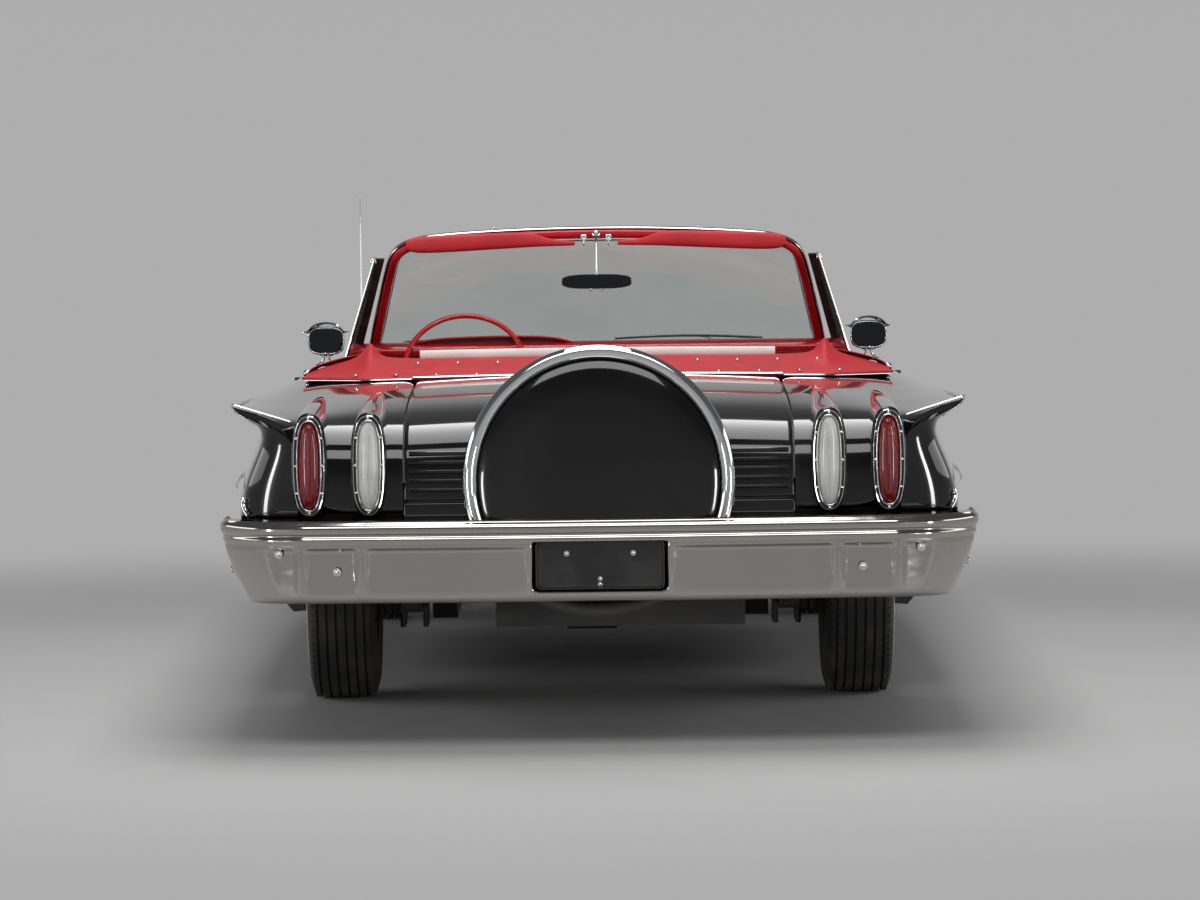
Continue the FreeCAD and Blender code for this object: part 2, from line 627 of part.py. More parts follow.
SPRING_EYES = (262.0, 350.0)  # heights at the front and at the rear
CROSS_TOP = HUB_Z - 97  # top of the cross-member under the engine


def frame_rails():
    outlines = []
    for p in RAIL:
        outer_x, top = p.x + RAIL_WIDE, p.z + p.high
        outlines.append([(p.x, p.y, p.z), (outer_x, p.y, p.z), (outer_x, p.y, top), (p.x, p.y, top)])
    rail = loft(outlines)
    pieces = both(rail)
    pieces.append(box(-RAIL_FRONT_X, RAIL_FRONT_X, FRONT_AXLE + 440, FRONT_AXLE + 500, 405, 480))
    arms_x = RAIL_FRONT_X + RAIL_WIDE
    pieces.append(box(-arms_x, arms_x, FRONT_AXLE - 60, FRONT_AXLE + 60, CROSS_TOP - 43, CROSS_TOP))
    pieces += both(box(RAIL_FRONT_X + 1, arms_x - 1, FRONT_AXLE - 60, FRONT_AXLE + 60, CROSS_TOP - 43, 400))
    pieces.append(box(-500, 500, DOOR_FRONT - 200, DOOR_FRONT - 140, 202, 240))
    hangers = ((SPRING_ENDS[0], SPRING_EYES[0], FLOOR_Z - SEAT_GAP), (SPRING_ENDS[1], SPRING_EYES[1], 460))
    for y, eye_z, top in hangers:
        x0, x1 = RAIL_REAR_X + RAIL_WIDE - 10, SPRING_X + SPRING_WIDE / 2
        pieces += both(box(x0, x1, y - 25, y + 25, eye_z + 14, top))
    frame = fused(pieces).cut(front_bumper().translated(Vector(0, -SEAT_GAP, 0)))
    return frame.cut(rear_bumper().translated(Vector(0, SEAT_GAP, 0)))


def leaf_spring():
    """Leaves, and the clamp block under the axle."""
    axle_low = HUB_Z - AXLE_R - SEAT_GAP
    front, rear = SPRING_ENDS
    front_z, rear_z = SPRING_EYES
    side = [
        (front + 20, front_z + 14),
        (front - 40, front_z + 14),
        (REAR_AXLE + 90, axle_low),
        (REAR_AXLE - 90, axle_low),
        (rear + 60, rear_z + 14),
        (rear - 20, rear_z + 14),
        (rear - 20, rear_z - 4),
        (REAR_AXLE - 200, axle_low - 26),
        (REAR_AXLE + 200, axle_low - 30),
        (front + 20, front_z - 4),
    ]
    x0 = SPRING_X - SPRING_WIDE / 2
    leaves = extrude([(x0, y, z) for y, z in side], (SPRING_WIDE, 0, 0))
    clamp = box(SPRING_X - 42, SPRING_X + 42, REAR_AXLE - 70, REAR_AXLE + 70, axle_low - 46, axle_low - 26)
    bolts = [
        cylinder(8, (x, y, axle_low - 90), (x, y, axle_low - 10))
        for x in (SPRING_X - 34, SPRING_X + 34)
        for y in (REAR_AXLE - 55, REAR_AXLE + 55)
    ]
    return fused([leaves, clamp] + bolts)


AXLE_R = 42.0


def rear_axle():
    half = REAR_WHEEL_X
    tube = cylinder(AXLE_R, (-half + 62, REAR_AXLE, HUB_Z), (half - 62, REAR_AXLE, HUB_Z))
    spindle = cylinder(SPINDLE_R, (-half - 35, REAR_AXLE, HUB_Z), (half + 35, REAR_AXLE, HUB_Z))
    casing = turned([(-150, 0), (-150, 60), (-70, 148), (70, 148), (150, 60), (150, 0)], -25, REAR_AXLE, 1)
    snout = cylinder(60, (0, REAR_AXLE + 30, HUB_Z), (0, REAR_AXLE + 230, HUB_Z))
    return fused([tube, spindle, casing, snout])


ARM_THICK = 16.0
ARM_LOW = HUB_Z - 115  # underside of the lower front arms
ARM_HIGH = HUB_Z + 99  # underside of the upper front arms
KINGPIN_R = 22.0


def front_arms():
    """Upper and lower arms with the coil spring between them, for one side."""
    shapes = []
    inner_x = RAIL_FRONT_X + RAIL_WIDE
    for z in (ARM_LOW, ARM_HIGH):
        plan = [(inner_x, -110), (inner_x, 110), (KINGPIN_X, 34), (KINGPIN_X, -34)]
        plate = extrude([(x, FRONT_AXLE + y, z) for x, y in plan], (0, 0, ARM_THICK))
        eye = Part.makeCylinder(34, ARM_THICK, Vector(KINGPIN_X, FRONT_AXLE, z))
        bore = Part.makeCylinder(KINGPIN_R + SEAT_GAP, 40, Vector(KINGPIN_X, FRONT_AXLE, z - 10))
        shapes.append(plate.fuse(eye).cut(bore))
    spring_low = ARM_LOW + ARM_THICK
    spring_x = blend(inner_x, KINGPIN_X, 0.44)
    coil = Part.makeCylinder(45, ARM_HIGH - spring_low, Vector(spring_x, FRONT_AXLE, spring_low))
    return fused(shapes + [coil])


def knuckle():
    low, high = ARM_LOW - 8, ARM_HIGH + ARM_THICK + 7
    pin = Part.makeCylinder(KINGPIN_R, high - low, Vector(KINGPIN_X, FRONT_AXLE, low))
    collar_low = ARM_LOW + ARM_THICK + 14
    collar = Part.makeCylinder(30, ARM_HIGH - 14 - collar_low, Vector(KINGPIN_X, FRONT_AXLE, collar_low))
    end = FRONT_WHEEL_X + 35
    spindle = cylinder(SPINDLE_R, (KINGPIN_X, FRONT_AXLE, HUB_Z), (end, FRONT_AXLE, HUB_Z))
    return fused([pin, collar, spindle])


# ---------------------------------------------------------------- wheels
def turned(profile, x, y, outward):
    """A solid turned about the wheel's axis from (distance outwards, radius) points."""
    wire = closed_wire([(x + outward * along, y, HUB_Z + radius) for along, radius in profile])
    return Part.Face(wire).revolve(Vector(x, y, HUB_Z), Vector(1, 0, 0), 360)


def tyre(x, y, outward):
    half = TYRE_WIDTH / 2
    bead, tread = half * 0.72, half * 0.70
    r0, r1 = RIM_RADIUS, TYRE_RADIUS
    mid = r0 + 0.52 * (r1 - r0)
    deep = r1 - r0
    side = [(bead, r0), (half * 0.94, r0 + 0.22 * deep), (half, mid), (half * 0.95, r0 + 0.82 * deep)]
    side += [(tread + 12, r1 - 9), (tread, r1)]
    profile = side + [(-a, r) for a, r in reversed(side)]
    return turned(profile, x, y, outward)


def road_wheel(x, y, outward):
    """Rim, web, brake drum and the cap over the hub, in one piece."""
    rim = RIM_RADIUS - SEAT_GAP
    bore = SPINDLE_R + SEAT_GAP
    profile = [
        (-80, rim), (80, rim), (80, rim - 14), (62, rim - 26), (70, 120), (92, 60), (100, 0.0),
        (88, 0.0), (80, 56), (58, 112), (44, 112), (44, bore), (-46, bore), (-46, 140), (10, 140),
        (10, rim - 14), (-80, rim - 14),
    ]
    return turned(profile, x, y, outward)


# ---------------------------------------------------------------- machinery
ENGINE_REAR = FRONT_AXLE - 464


def engine_block():
    half = RAIL_FRONT_X - 25
    return box(-half, half, ENGINE_REAR, FRONT_AXLE + 236, CROSS_TOP, BELT - 110)


def transmission():
    rear = DOOR_FRONT - 150
    return loft(
        [
            [(-95, y, 240), (95, y, 240), (wide, y, high), (-wide, y, high)]
            for y, wide, high in ((ENGINE_REAR, 95, 430), (rear, 75, 390))
        ]
    )


def drive_shaft():
    return cylinder(36, (0, DOOR_FRONT - 150.8, 325), (0, REAR_AXLE + 230.8, HUB_Z - 2))


def fuel_tank():
    return box(150 - RAIL_REAR_X, RAIL_REAR_X - 40, REAR_AXLE - 1210, REAR_AXLE - 476, 302, REAR_FLOOR_Z)


EXHAUST_X = 205 - RAIL_REAR_X


def exhaust():
    z = 268.0
    muffler_front, muffler_rear = REAR_AXLE + 980, REAR_AXLE + 520
    front = pipe_run(25, [(EXHAUST_X, ENGINE_REAR - SEAT_GAP, z), (EXHAUST_X, muffler_front - 10, z)])
    muffler = box(EXHAUST_X - 85, EXHAUST_X + 85, muffler_rear, muffler_front, 206, FLOOR_Z - SEAT_GAP)
    over = pipe_run(
        25,
        [
            (EXHAUST_X, muffler_rear + 10, z),
            (EXHAUST_X - 30, REAR_AXLE + 330, z + 10),
            (EXHAUST_X - 100, REAR_AXLE + 200, 460),
            (EXHAUST_X - 115, REAR_AXLE - 250, 460),
            (EXHAUST_X - 120, REAR_AXLE - 480, 385),
            (EXHAUST_X - 120, TAIL + 60, 385),
        ],
    )
    return fused([front, muffler, over])


# ---------------------------------------------------------------- windshield
ShieldCurve = namedtuple("ShieldCurve", "z half side_y middle_y")
SHIELD_FOOT = ShieldCurve(BELT + 85, CABIN_X - 92, DOOR_FRONT - 130, DOOR_FRONT + 95)
SHIELD_HEAD = ShieldCurve(HEADER_Z - 45, CABIN_X - 190, DOOR_FRONT - 610, DOOR_FRONT - 500)
HEADER_GROW = 30.0
HEADER_DEEP = 46.0
HEADER_REAR_Y = SHIELD_HEAD.middle_y + 0.3 * HEADER_GROW - HEADER_DEEP


def shield_band(curve, grow, thick):
    """A closed outline of two arcs: a band that follows the windshield in plan."""
    half, z = curve.half + grow, curve.z
    outer_y, middle_y = curve.side_y + grow * 0.3, curve.middle_y + grow * 0.3
    outer = Part.Arc(Vector(-half, outer_y, z), Vector(0, middle_y, z), Vector(half, outer_y, z))
    tips = [Vector(half - thick, outer_y - thick, z), Vector(-half + thick, outer_y - thick, z)]
    inner = Part.Arc(tips[0], Vector(0, middle_y - thick, z), tips[1])
    ends = [Part.makeLine(Vector(half, outer_y, z), tips[0])]
    ends.append(Part.makeLine(tips[1], Vector(-half, outer_y, z)))
    return Part.Wire([outer.toShape(), ends[0], inner.toShape(), ends[1]])


def windshield_glass(grow=0.0):
    bands = [shield_band(curve, grow, 6 + 1.6 * grow) for curve in (SHIELD_FOOT, SHIELD_HEAD)]
    return Part.makeLoft(bands, True, True)


def windshield_frame():
    foot, head = SHIELD_FOOT, SHIELD_HEAD
    header = Part.Face(shield_band(head, HEADER_GROW, HEADER_DEEP)).extrude(Vector(0, 0, HEADER_Z - head.z))
    lower = shield_band(foot._replace(z=WING_TOP), 22, 40)
    rail = Part.Face(lower).extrude(Vector(0, 0, foot.z - WING_TOP)).cut(cowl_block(400))
    pillars = []
    for side in (-1, 1):
        outlines = []
        for curve, z, wide in (
            (foot, WING_TOP, 54),
            (foot, foot.z, 50),
            (head, head.z, 34),
            (head, HEADER_Z - 1, 30),
        ):
            x, y = side * (curve.half - 4), curve.side_y - 4
            far = x + side * wide
            outlines.append([(x, y + 8, z), (far, y - 12, z), (far, y - 52, z), (x, y - 44, z)])
        pillars.append(loft(outlines))
    return fused([header, rail] + pillars + rear_view_mirror()).cut(windshield_glass(0.5))


# ---------------------------------------------------------------- cabin
FRONT_SEAT_Y = DOOR_FRONT - 960  # rear edge of the front cushion
COLUMN_X = 595 - HALF_WIDTH
STEER_Y = FRONT_AXLE - 1224
STEER_Z = BELT + 18
STEER_TILT = 30.0
STEER_R = 215.0
JACKET_R = 30.0


def on_column(distance):
    """A point on the steering column's line, forwards and down from the steering wheel."""
    tilt = math.radians(STEER_TILT)
    return COLUMN_X, STEER_Y + distance * math.cos(tilt), STEER_Z - distance * math.sin(tilt)


def dashboard():
    front = COWL_EDGE - SEAT_GAP
    profile = [
        (front, BELT - 140),
        (front, BELT + 104),
        (front - 60, BELT + 108),
        (front - 150, BELT + 85),
        (front - 165, BELT + 40),
        (front - 120, BELT - 100),
        (front - 60, BELT - 140),
    ]
    board = across(profile, CABIN_X - 6)
    board = board.cut(windshield_frame().translated(Vector(0, -SEAT_GAP, 0)))
    return board.cut(cylinder(JACKET_R + SEAT_GAP, on_column(-60), on_column(700)))


def steering_column():
    jacket = cylinder(JACKET_R, on_column(70), on_column(480))
    shaft = cylinder(11, on_column(-20), on_column(80))
    return jacket.fuse(shaft)


def steering_wheel():
    x, y, z = on_column(0)
    tilt = math.radians(STEER_TILT)
    axis = Vector(0, -math.cos(tilt), math.sin(tilt))
    rim = Part.makeTorus(STEER_R - 12, 12, Vector(x, y, z), axis)
    hub = cylinder(34, on_column(-22), on_column(30))
    spokes = []
    for side in (-1, 1):
        spokes.append(cylinder(9, (x, y, z), (x + side * (STEER_R - 12), y, z)))
    low = Vector(x, y, z) - Vector(0, math.sin(tilt), math.cos(tilt)) * (STEER_R - 12)
    spokes.append(cylinder(9, (x, y, z), tuple(low)))
    bore = cylinder(11 + SEAT_GAP, on_column(-40), on_column(60))
    return fused([rim, hub] + spokes).cut(bore)


def front_seat():
    half, y = CABIN_X - 138, FRONT_SEAT_Y
    base = across([(470, FLOOR_TOP), (470, 520), (440, 560), (0, 540), (0, FLOOR_TOP)], half, y)
    base = base.cut(tunnel_solid(y - 10, y + 480, -1))
    profile = [(0, 480), (0, 560), (-94, BELT + 45), (-150, BELT + 50), (-180, BELT + 25), (-110, 470)]
    back = across(profile, half, y)
    return base, back.cut(base)


def rear_seat():
    y = HEELBOARD + FLOOR_THICK
    half = REAR_HALF - 0.7
    base = across([(418, FLOOR_TOP), (418, 545), (388, 585), (0, 560), (0, FLOOR_TOP)], half, y)
    base = base.cut(tunnel_solid(y - 10, y + 500, -1))
    lower = across([(0, 565), (0, 640), (-132, 640), (-132, REAR_FLOOR_TOP)], half - 9, y)
    profile = [(0, 640), (-62, BELT + 30), (-122, BELT + 40), (-152, BELT), (-132, 640)]
    upper = across(profile, CABIN_X - 138, y)
    return base, lower.fuse(upper).removeSplitter().cut(base)


def rear_side_trim():
    """Upholstered side of the rear seat, with its arm rest."""
    y0, y1 = HEELBOARD + FLOOR_THICK + 2, DOOR_REAR - 2
    inner_x, outer_x = REAR_HALF + 2.3, CABIN_X + 2
    outline = [
        (inner_x, FLOOR_TOP),
        (outer_x - 130, 640),
        (outer_x - 110, 640),
        (outer_x - 70, BELT + 12),
        (outer_x, BELT + 12),
        (outer_x, FLOOR_TOP),
    ]
    return extrude([(x, y0, z) for x, z in outline], (0, y1 - y0, 0))


BOOT_FRONT = REAR_AXLE + 300
BOOT_REAR = LID_FRONT + 14
BOOT_HALF = HALF_WIDTH - 150
BootRib = namedtuple("BootRib", "x rise front rear")
BOOT_RIBS = [
    BootRib(0, 58, BOOT_FRONT, BOOT_REAR),
    BootRib(HALF_WIDTH - 535, 52, BOOT_FRONT, BOOT_REAR),
    BootRib(HALF_WIDTH - 335, 76, BOOT_FRONT, BOOT_REAR + 6),
    BootRib(HALF_WIDTH - 260, 44, BOOT_FRONT + 30, BOOT_REAR + 60),
    BootRib(BOOT_HALF, 12, BOOT_FRONT + 60, BOOT_REAR + 160),
]
BootArm = namedtuple("BootArm", "y inner rise")
BOOT_ARMS = [
    BootArm(BOOT_FRONT + 5, HALF_WIDTH - 380, 60),
    BootArm(BOOT_FRONT + 140, HALF_WIDTH - 270, 40),
    BootArm(DOOR_REAR - 10, HALF_WIDTH - 200, 22),
]


def top_boot():
    """The fitted cover over the folded roof, with arms along the cockpit's sides."""
    outlines = []
    mirrored_ribs = [rib._replace(x=-rib.x) for rib in reversed(BOOT_RIBS[1:])]
    for rib in mirrored_ribs + BOOT_RIBS:
        crest = rib.front - 60
        side = [
            (rib.front, 0),
            (rib.front, rib.rise * 0.7),
            (crest, rib.rise),
            (blend(crest, rib.rear, 0.6), rib.rise * 0.62),
            (rib.rear, 4),
            (rib.rear, 0),
        ]
        outlines.append([(rib.x, y, BOOT_BASE + z) for y, z in side])
    arms = []
    for arm in BOOT_ARMS:
        profile = [
            (arm.inner, 0),
            (BOOT_HALF, 0),
            (BOOT_HALF, arm.rise * 0.5),
            ((arm.inner + BOOT_HALF) / 2, arm.rise),
            (arm.inner, arm.rise * 0.6),
        ]
        arms.append([(x, arm.y, BOOT_BASE + z) for x, z in profile])
    return fused([loft(outlines)] + both(loft(arms)))


# ---------------------------------------------------------------- spare wheel on the tail
SPARE_Z = BELT - 172
SPARE_Y = REAR_BUMPER_Y + 109


def spare_axis_point(forward, up=0.0):
    """A point measured along the spare's axis, and up in its face, from its rear face centre."""
    tilt = math.radians(SPARE_TILT)
    return (
        0.0,
        SPARE_Y + forward * math.cos(tilt) + up * math.sin(tilt),
        SPARE_Z - forward * math.sin(tilt) + up * math.cos(tilt),
    )


FACE_RADIUS = SPARE_RADIUS - 30


def spare_band():
    """The bright drum around the spare's tread."""
    drum = cylinder(SPARE_RADIUS, spare_axis_point(12), spare_axis_point(SPARE_THICK))
    return drum.cut(cylinder(FACE_RADIUS, spare_axis_point(-10), spare_axis_point(SPARE_THICK - 20)))


def spare_face():
    return cylinder(FACE_RADIUS - SEAT_GAP, spare_axis_point(0), spare_axis_point(40))


def rear_crossmember():
    """The last cross-member, bolted between the rails, and its upright that carries the spare."""
    member = box(-RAIL_REAR_X, RAIL_REAR_X, TAIL + 24, TAIL + 84, 422, 480)
    top = spare_axis_point(SPARE_THICK + SEAT_GAP)
    foot = box(-70, 70, TAIL - 62, TAIL + 25, 424, 478)
    upright = loft(
        [
            [(-60, back - 26, z), (60, back - 26, z), (60, back, z), (-60, back, z)]
            for z, back in ((424, TAIL - 20), (478, TAIL - 22), (SPARE_Z + 62, TAIL - 30))
        ]
    )
    stub = cylinder(45, (0, TAIL - 40, top[2]), top)
    drum = cylinder(SPARE_RADIUS + 5, spare_axis_point(-10), spare_axis_point(SPARE_THICK + SEAT_GAP))
    return fused([member, foot, upright, stub]).cut(drum).cut(spare_clear())


def spare_clear():
    """The way of the trunk lid's lower edge, which the carrier stays behind."""
    pin_y, pin_z = LID_PIVOT
    reach = math.hypot(LID_PROFILE[-1][0] + 50, pin_z - BELT + 232) + SHUT_GAP
    return cylinder(reach, (-200, pin_y, pin_z), (200, pin_y, pin_z)).common(
        box(-200, 200, TAIL - 100, TAIL + 300, BELT - 245, BELT + 400)
    )


# ---------------------------------------------------------------- lamps, grille and fittings
def headlamps():
    shapes = []
    for x in LAMP_X:
        lens = cylinder(LAMP_R - SEAT_GAP, (x, NOSE - 50, LAMP_Z), (x, NOSE + 8, LAMP_Z))
        shapes += both(lens)
    return shapes


GRILLE_X = (40.0, HALF_WIDTH - 475)
GRILLE_Z = (BELT - 340, BELT - 144)


def grille_half():
    x0, x1 = GRILLE_X
    z0, z1 = GRILLE_Z
    y0, y1 = NOSE - 40, NOSE + 6
    hoop = box(x0, x1, y0, y1, z0, z1).cut(box(x0 + 16, x1 - 16, y0 - 5, y1 + 5, z0 + 16, z1 - 16))
    middles = [z0 + 34 + 32 * i for i in range(5)]
    bars = [box(x0 + 10, x1 - 10, y0 + 8, y0 + 28, z - 5, z + 5) for z in middles]
    return fused([hoop] + bars)


def radiator_support():
    """Upright panel behind the grille that ties the fenders to the frame."""
    y = NOSE - 40
    half = HALF_WIDTH - 470 - SEAT_GAP
    plate = box(-half, half, y - 20, y, 440, GRILLE_Z[1])
    foot = box(-RAIL_FRONT_X - 60, RAIL_FRONT_X + 60, y - 20, y, 420, 470)
    divider = box(-39.5, 39.5, y, NOSE + 4, GRILLE_Z[0], GRILLE_Z[1])
    support = fused([plate, foot, divider])
    for tool in both(box(70, half - 35, y - 25, y + 5, GRILLE_Z[0] + 25, GRILLE_Z[1] - 21)):
        support = support.cut(tool)
    return support.cut(frame_rails())


def tail_lamp_bezels():
    back = TAIL - POD_PROUD
    shapes = []
    for x in TAIL_LAMP_X:
        ring = stadium(x, TAIL_LAMP_Z, *TAIL_LAMP_HALF, back - 16, back)
        hole = stadium(x, TAIL_LAMP_Z, TAIL_LAMP_HALF[0] - 13, TAIL_LAMP_HALF[1] - 18, back - 30, back + 5)
        shapes += both(ring.cut(hole))
    return shapes


def lamp_lens(x):
    back = TAIL - POD_PROUD
    wide, high = TAIL_LAMP_HALF[0] - 13 - SEAT_GAP, TAIL_LAMP_HALF[1] - 18 - SEAT_GAP
    return stadium(x, TAIL_LAMP_Z, wide, high, back - 20, TAIL - 6)


MIRROR_X = HALF_WIDTH - 123
MIRROR_Y = DOOR_FRONT - 180
MIRROR_Z = BELT + 117


def door_mirror():
    """Mirror head on its foot at the front of the door's top edge."""
    foot_z = BELT + 26
    head = Part.makeSphere(62, Vector(MIRROR_X, MIRROR_Y, MIRROR_Z)).common(
        box(MIRROR_X - 70, MIRROR_X + 70, MIRROR_Y - 26, MIRROR_Y + 70, MIRROR_Z - 70, MIRROR_Z + 70)
    )
    stem = cylinder(11, (MIRROR_X, MIRROR_Y, MIRROR_Z - 40), (MIRROR_X + 6, MIRROR_Y, foot_z - 8))
    foot = cylinder(24, (MIRROR_X + 6, MIRROR_Y, foot_z - 8), (MIRROR_X + 6, MIRROR_Y, foot_z + 12))
    return fused([head, stem, foot]).cut(door().translated(Vector(0, 0, SEAT_GAP)))


def vent_window():
    """Fixed front quarter light on the door, in its bright frame."""
    y_foot, y_head = SHIELD_FOOT.side_y - 66, SHIELD_HEAD.side_y - 70
    z_foot, z_head = WING_TOP - 10, HEADER_Z - 95
    x_foot, x_head = DOOR_INNER_X + 4, SHIELD_HEAD.half + 80
    lean = (x_foot - x_head) / (z_head - z_foot)
    corners = [(y_foot, z_foot), (y_head, z_head), (y_head - 34, z_head), (y_head - 34, z_foot)]
    pane = extrude([(x_foot - lean * (z - z_foot), y, z) for y, z in corners], (12, 0, 0))
    return pane.cut(door().translated(Vector(0, 0, SEAT_GAP)))


def antenna():
    x, y = HALF_WIDTH - 221, DOOR_FRONT + 330
    z = point_at(FENDER_SECTIONS, "shoulder", y)[1]
    base = cylinder(14, (-x, y, z - 6), (-x, y, z + 26))
    rod = cylinder(3, (-x, y, z + 20), (-x, y, 1500))
    return base.fuse(rod).cut(mirrored(front_fender()).translated(Vector(0, 0, SEAT_GAP)))


def rear_view_mirror():
    """Pieces of the inside mirror, on a stalk that hangs from the header."""
    y = HEADER_REAR_Y
    foot = box(-14, 14, y - 6, y + 2, HEADER_Z - 42, HEADER_Z - 8)
    stalk = cylinder(5, (0, y - 4, HEADER_Z - 28), (0, y - 42, HEADER_Z - 170))
    head = box(-116, 116, y - 52, y - 32, HEADER_Z - 205, HEADER_Z - 160)
    return [foot, stalk, head]


# ---------------------------------------------------------------- assembly
def assemble():
    fender, quarter, one_door = front_fender(), rear_quarter(), door()
    seat_base, seat_back = front_seat()
    bench_base, bench_back = rear_seat()
    frame = frame_rails()
    pan = floor_pan()
    nodes = {
        "frame_rails": [frame],
        "rear_crossmember": [rear_crossmember()],
        "floor_pan": [pan],
        "front_fender_right": [fender],
        "front_fender_left": [mirrored(fender)],
        "rear_quarter_right": [quarter],
        "rear_quarter_left": [mirrored(quarter)],
        "tail_panel": [tail_panel()],
        "cowl": [cowl()],
        "rocker_panels": both(rocker_panel()),
        "door_hinges": [s for strap in door_hinge_straps() for s in both(strap)],
        "wheel_housings": both(wheel_housing(FRONT_AXLE, STEER_ARCH + 10, KINGPIN_X - 190, 0, fender))
        + both(wheel_housing(REAR_AXLE, REAR_ARCH + 12, REAR_HALF + SEAT_GAP, 6, quarter)),
        "windshield_frame": [windshield_frame()],
        "windshield_glass": [windshield_glass()],
        "dashboard": [dashboard()],
        "steering_column": [steering_column()],
        "steering_wheel": [steering_wheel()],
        "front_seat": [seat_base, seat_back],
        "rear_seat": [bench_base, bench_back],
        "rear_side_trim": both(rear_side_trim()),
        "top_boot": [top_boot()],
        "hood": [hood()],
        "hood_arms": both(hood_arms()),
        "trunk_lid": [trunk_lid()],
        "lid_arms": both(lid_arms()),
        "door_right": [one_door],
        "door_left": [mirrored(one_door)],
        "vent_window_right": [vent_window()],
        "vent_window_left": [mirrored(vent_window())],
        "door_mirror_right": [door_mirror()],
        "door_mirror_left": [mirrored(door_mirror())],
        "radiator_support": [radiator_support()],
        "grille": both(grille_half()),
        "headlamps": headlamps(),
        "front_bumper": [front_bumper()],
        "rear_bumper": [rear_bumper()],
        "tail_lamp_bezels": tail_lamp_bezels(),
        "tail_lamp_lenses": both(lamp_lens(TAIL_LAMP_X[1])),
        "backup_lamp_lenses": both(lamp_lens(TAIL_LAMP_X[0])),
        "spare_band": [spare_band()],
        "spare_face": [spare_face()],
        "front_arms": both(front_arms()),
        "knuckle_right": [knuckle()],
        "knuckle_left": [mirrored(knuckle())],
        "rear_axle": [rear_axle()],
        "leaf_springs": both(leaf_spring()),
        "engine_block": [engine_block()],
        "transmission": [transmission()],
        "drive_shaft": [drive_shaft()],
        "fuel_tank": [fuel_tank()],
        "exhaust": [exhaust()],
        "antenna": [antenna()],
    }
    for end, x, y in (("front", FRONT_WHEEL_X, FRONT_AXLE), ("rear", REAR_WHEEL_X, REAR_AXLE)):
        for side, way in (("right", 1), ("left", -1)):
            nodes[f"tyre_{end}_{side}"] = [tyre(way * x, y, way)]
            nodes[f"wheel_{end}_{side}"] = [road_wheel(way * x, y, way)]
    return nodes


def write(nodes):
    os.makedirs("parts", exist_ok=True)
    for name, shapes in nodes.items():
        shape = shapes[0] if len(shapes) == 1 else Part.makeCompound(shapes)
        solids = shape.Solids
        state = "valid" if shape.isValid() else "INVALID"
        print(name, len(solids), state, round(shape.Volume / 1e6, 3), "litres")
        Part.makeCompound(solids).exportStep(os.path.join("parts", name + ".step"))


write(assemble())
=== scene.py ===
import math
import random

import bmesh
import bpy
from mathutils import Matrix, Vector
from mathutils.bvhtree import BVHTree


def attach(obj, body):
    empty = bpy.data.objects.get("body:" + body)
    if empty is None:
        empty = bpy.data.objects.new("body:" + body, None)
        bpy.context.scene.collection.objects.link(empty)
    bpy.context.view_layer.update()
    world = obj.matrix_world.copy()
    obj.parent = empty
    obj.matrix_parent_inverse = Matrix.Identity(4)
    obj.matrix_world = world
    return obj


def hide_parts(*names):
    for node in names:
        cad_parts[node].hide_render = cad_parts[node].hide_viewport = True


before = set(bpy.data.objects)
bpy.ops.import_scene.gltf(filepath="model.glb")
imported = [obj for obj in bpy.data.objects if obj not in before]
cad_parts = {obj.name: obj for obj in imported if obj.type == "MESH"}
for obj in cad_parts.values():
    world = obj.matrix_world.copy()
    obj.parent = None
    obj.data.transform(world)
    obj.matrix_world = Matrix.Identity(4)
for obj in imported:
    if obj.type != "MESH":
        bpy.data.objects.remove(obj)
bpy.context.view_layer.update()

MM = 0.001
random.seed(7)

# Sizes in millimetres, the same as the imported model's.
NOSE = 2734
TAIL = -2524
DOOR_FRONT = 1150
DOOR_REAR = -200
HOOD_REAR = 1324
LID_FRONT = -1200
FRONT_AXLE = 1964
REAR_AXLE = -1084
HUB_Z = 345

# Directions: the car faces ahead, and its right side is on the right.
RIGHT, AHEAD, BEHIND, UP = (1, 0, 0), (0, 1, 0), (0, -1, 0), (0, 0, 1)


# ---------------------------------------------------------------- finishes
class Value:
    """A socket of a finish's node tree, so that sums on it read as sums."""

    def __init__(self, look, socket):
        self.look, self.socket = look, socket

    def sum_with(self, operation, first, second):
        return self.look.node("ShaderNodeMath", {"operation": operation}, {0: first, 1: second})

    def __add__(self, other):
        return self.sum_with("ADD", self, other)

    def __radd__(self, other):
        return self.sum_with("ADD", other, self)

    def __sub__(self, other):
        return self.sum_with("SUBTRACT", self, other)

    def __rsub__(self, other):
        return self.sum_with("SUBTRACT", other, self)

    def __mul__(self, other):
        return self.sum_with("MULTIPLY", self, other)

    def __rmul__(self, other):
        return self.sum_with("MULTIPLY", other, self)

    def __pow__(self, other):
        return self.sum_with("POWER", self, other)

    def __gt__(self, other):
        return self.sum_with("GREATER_THAN", self, other)


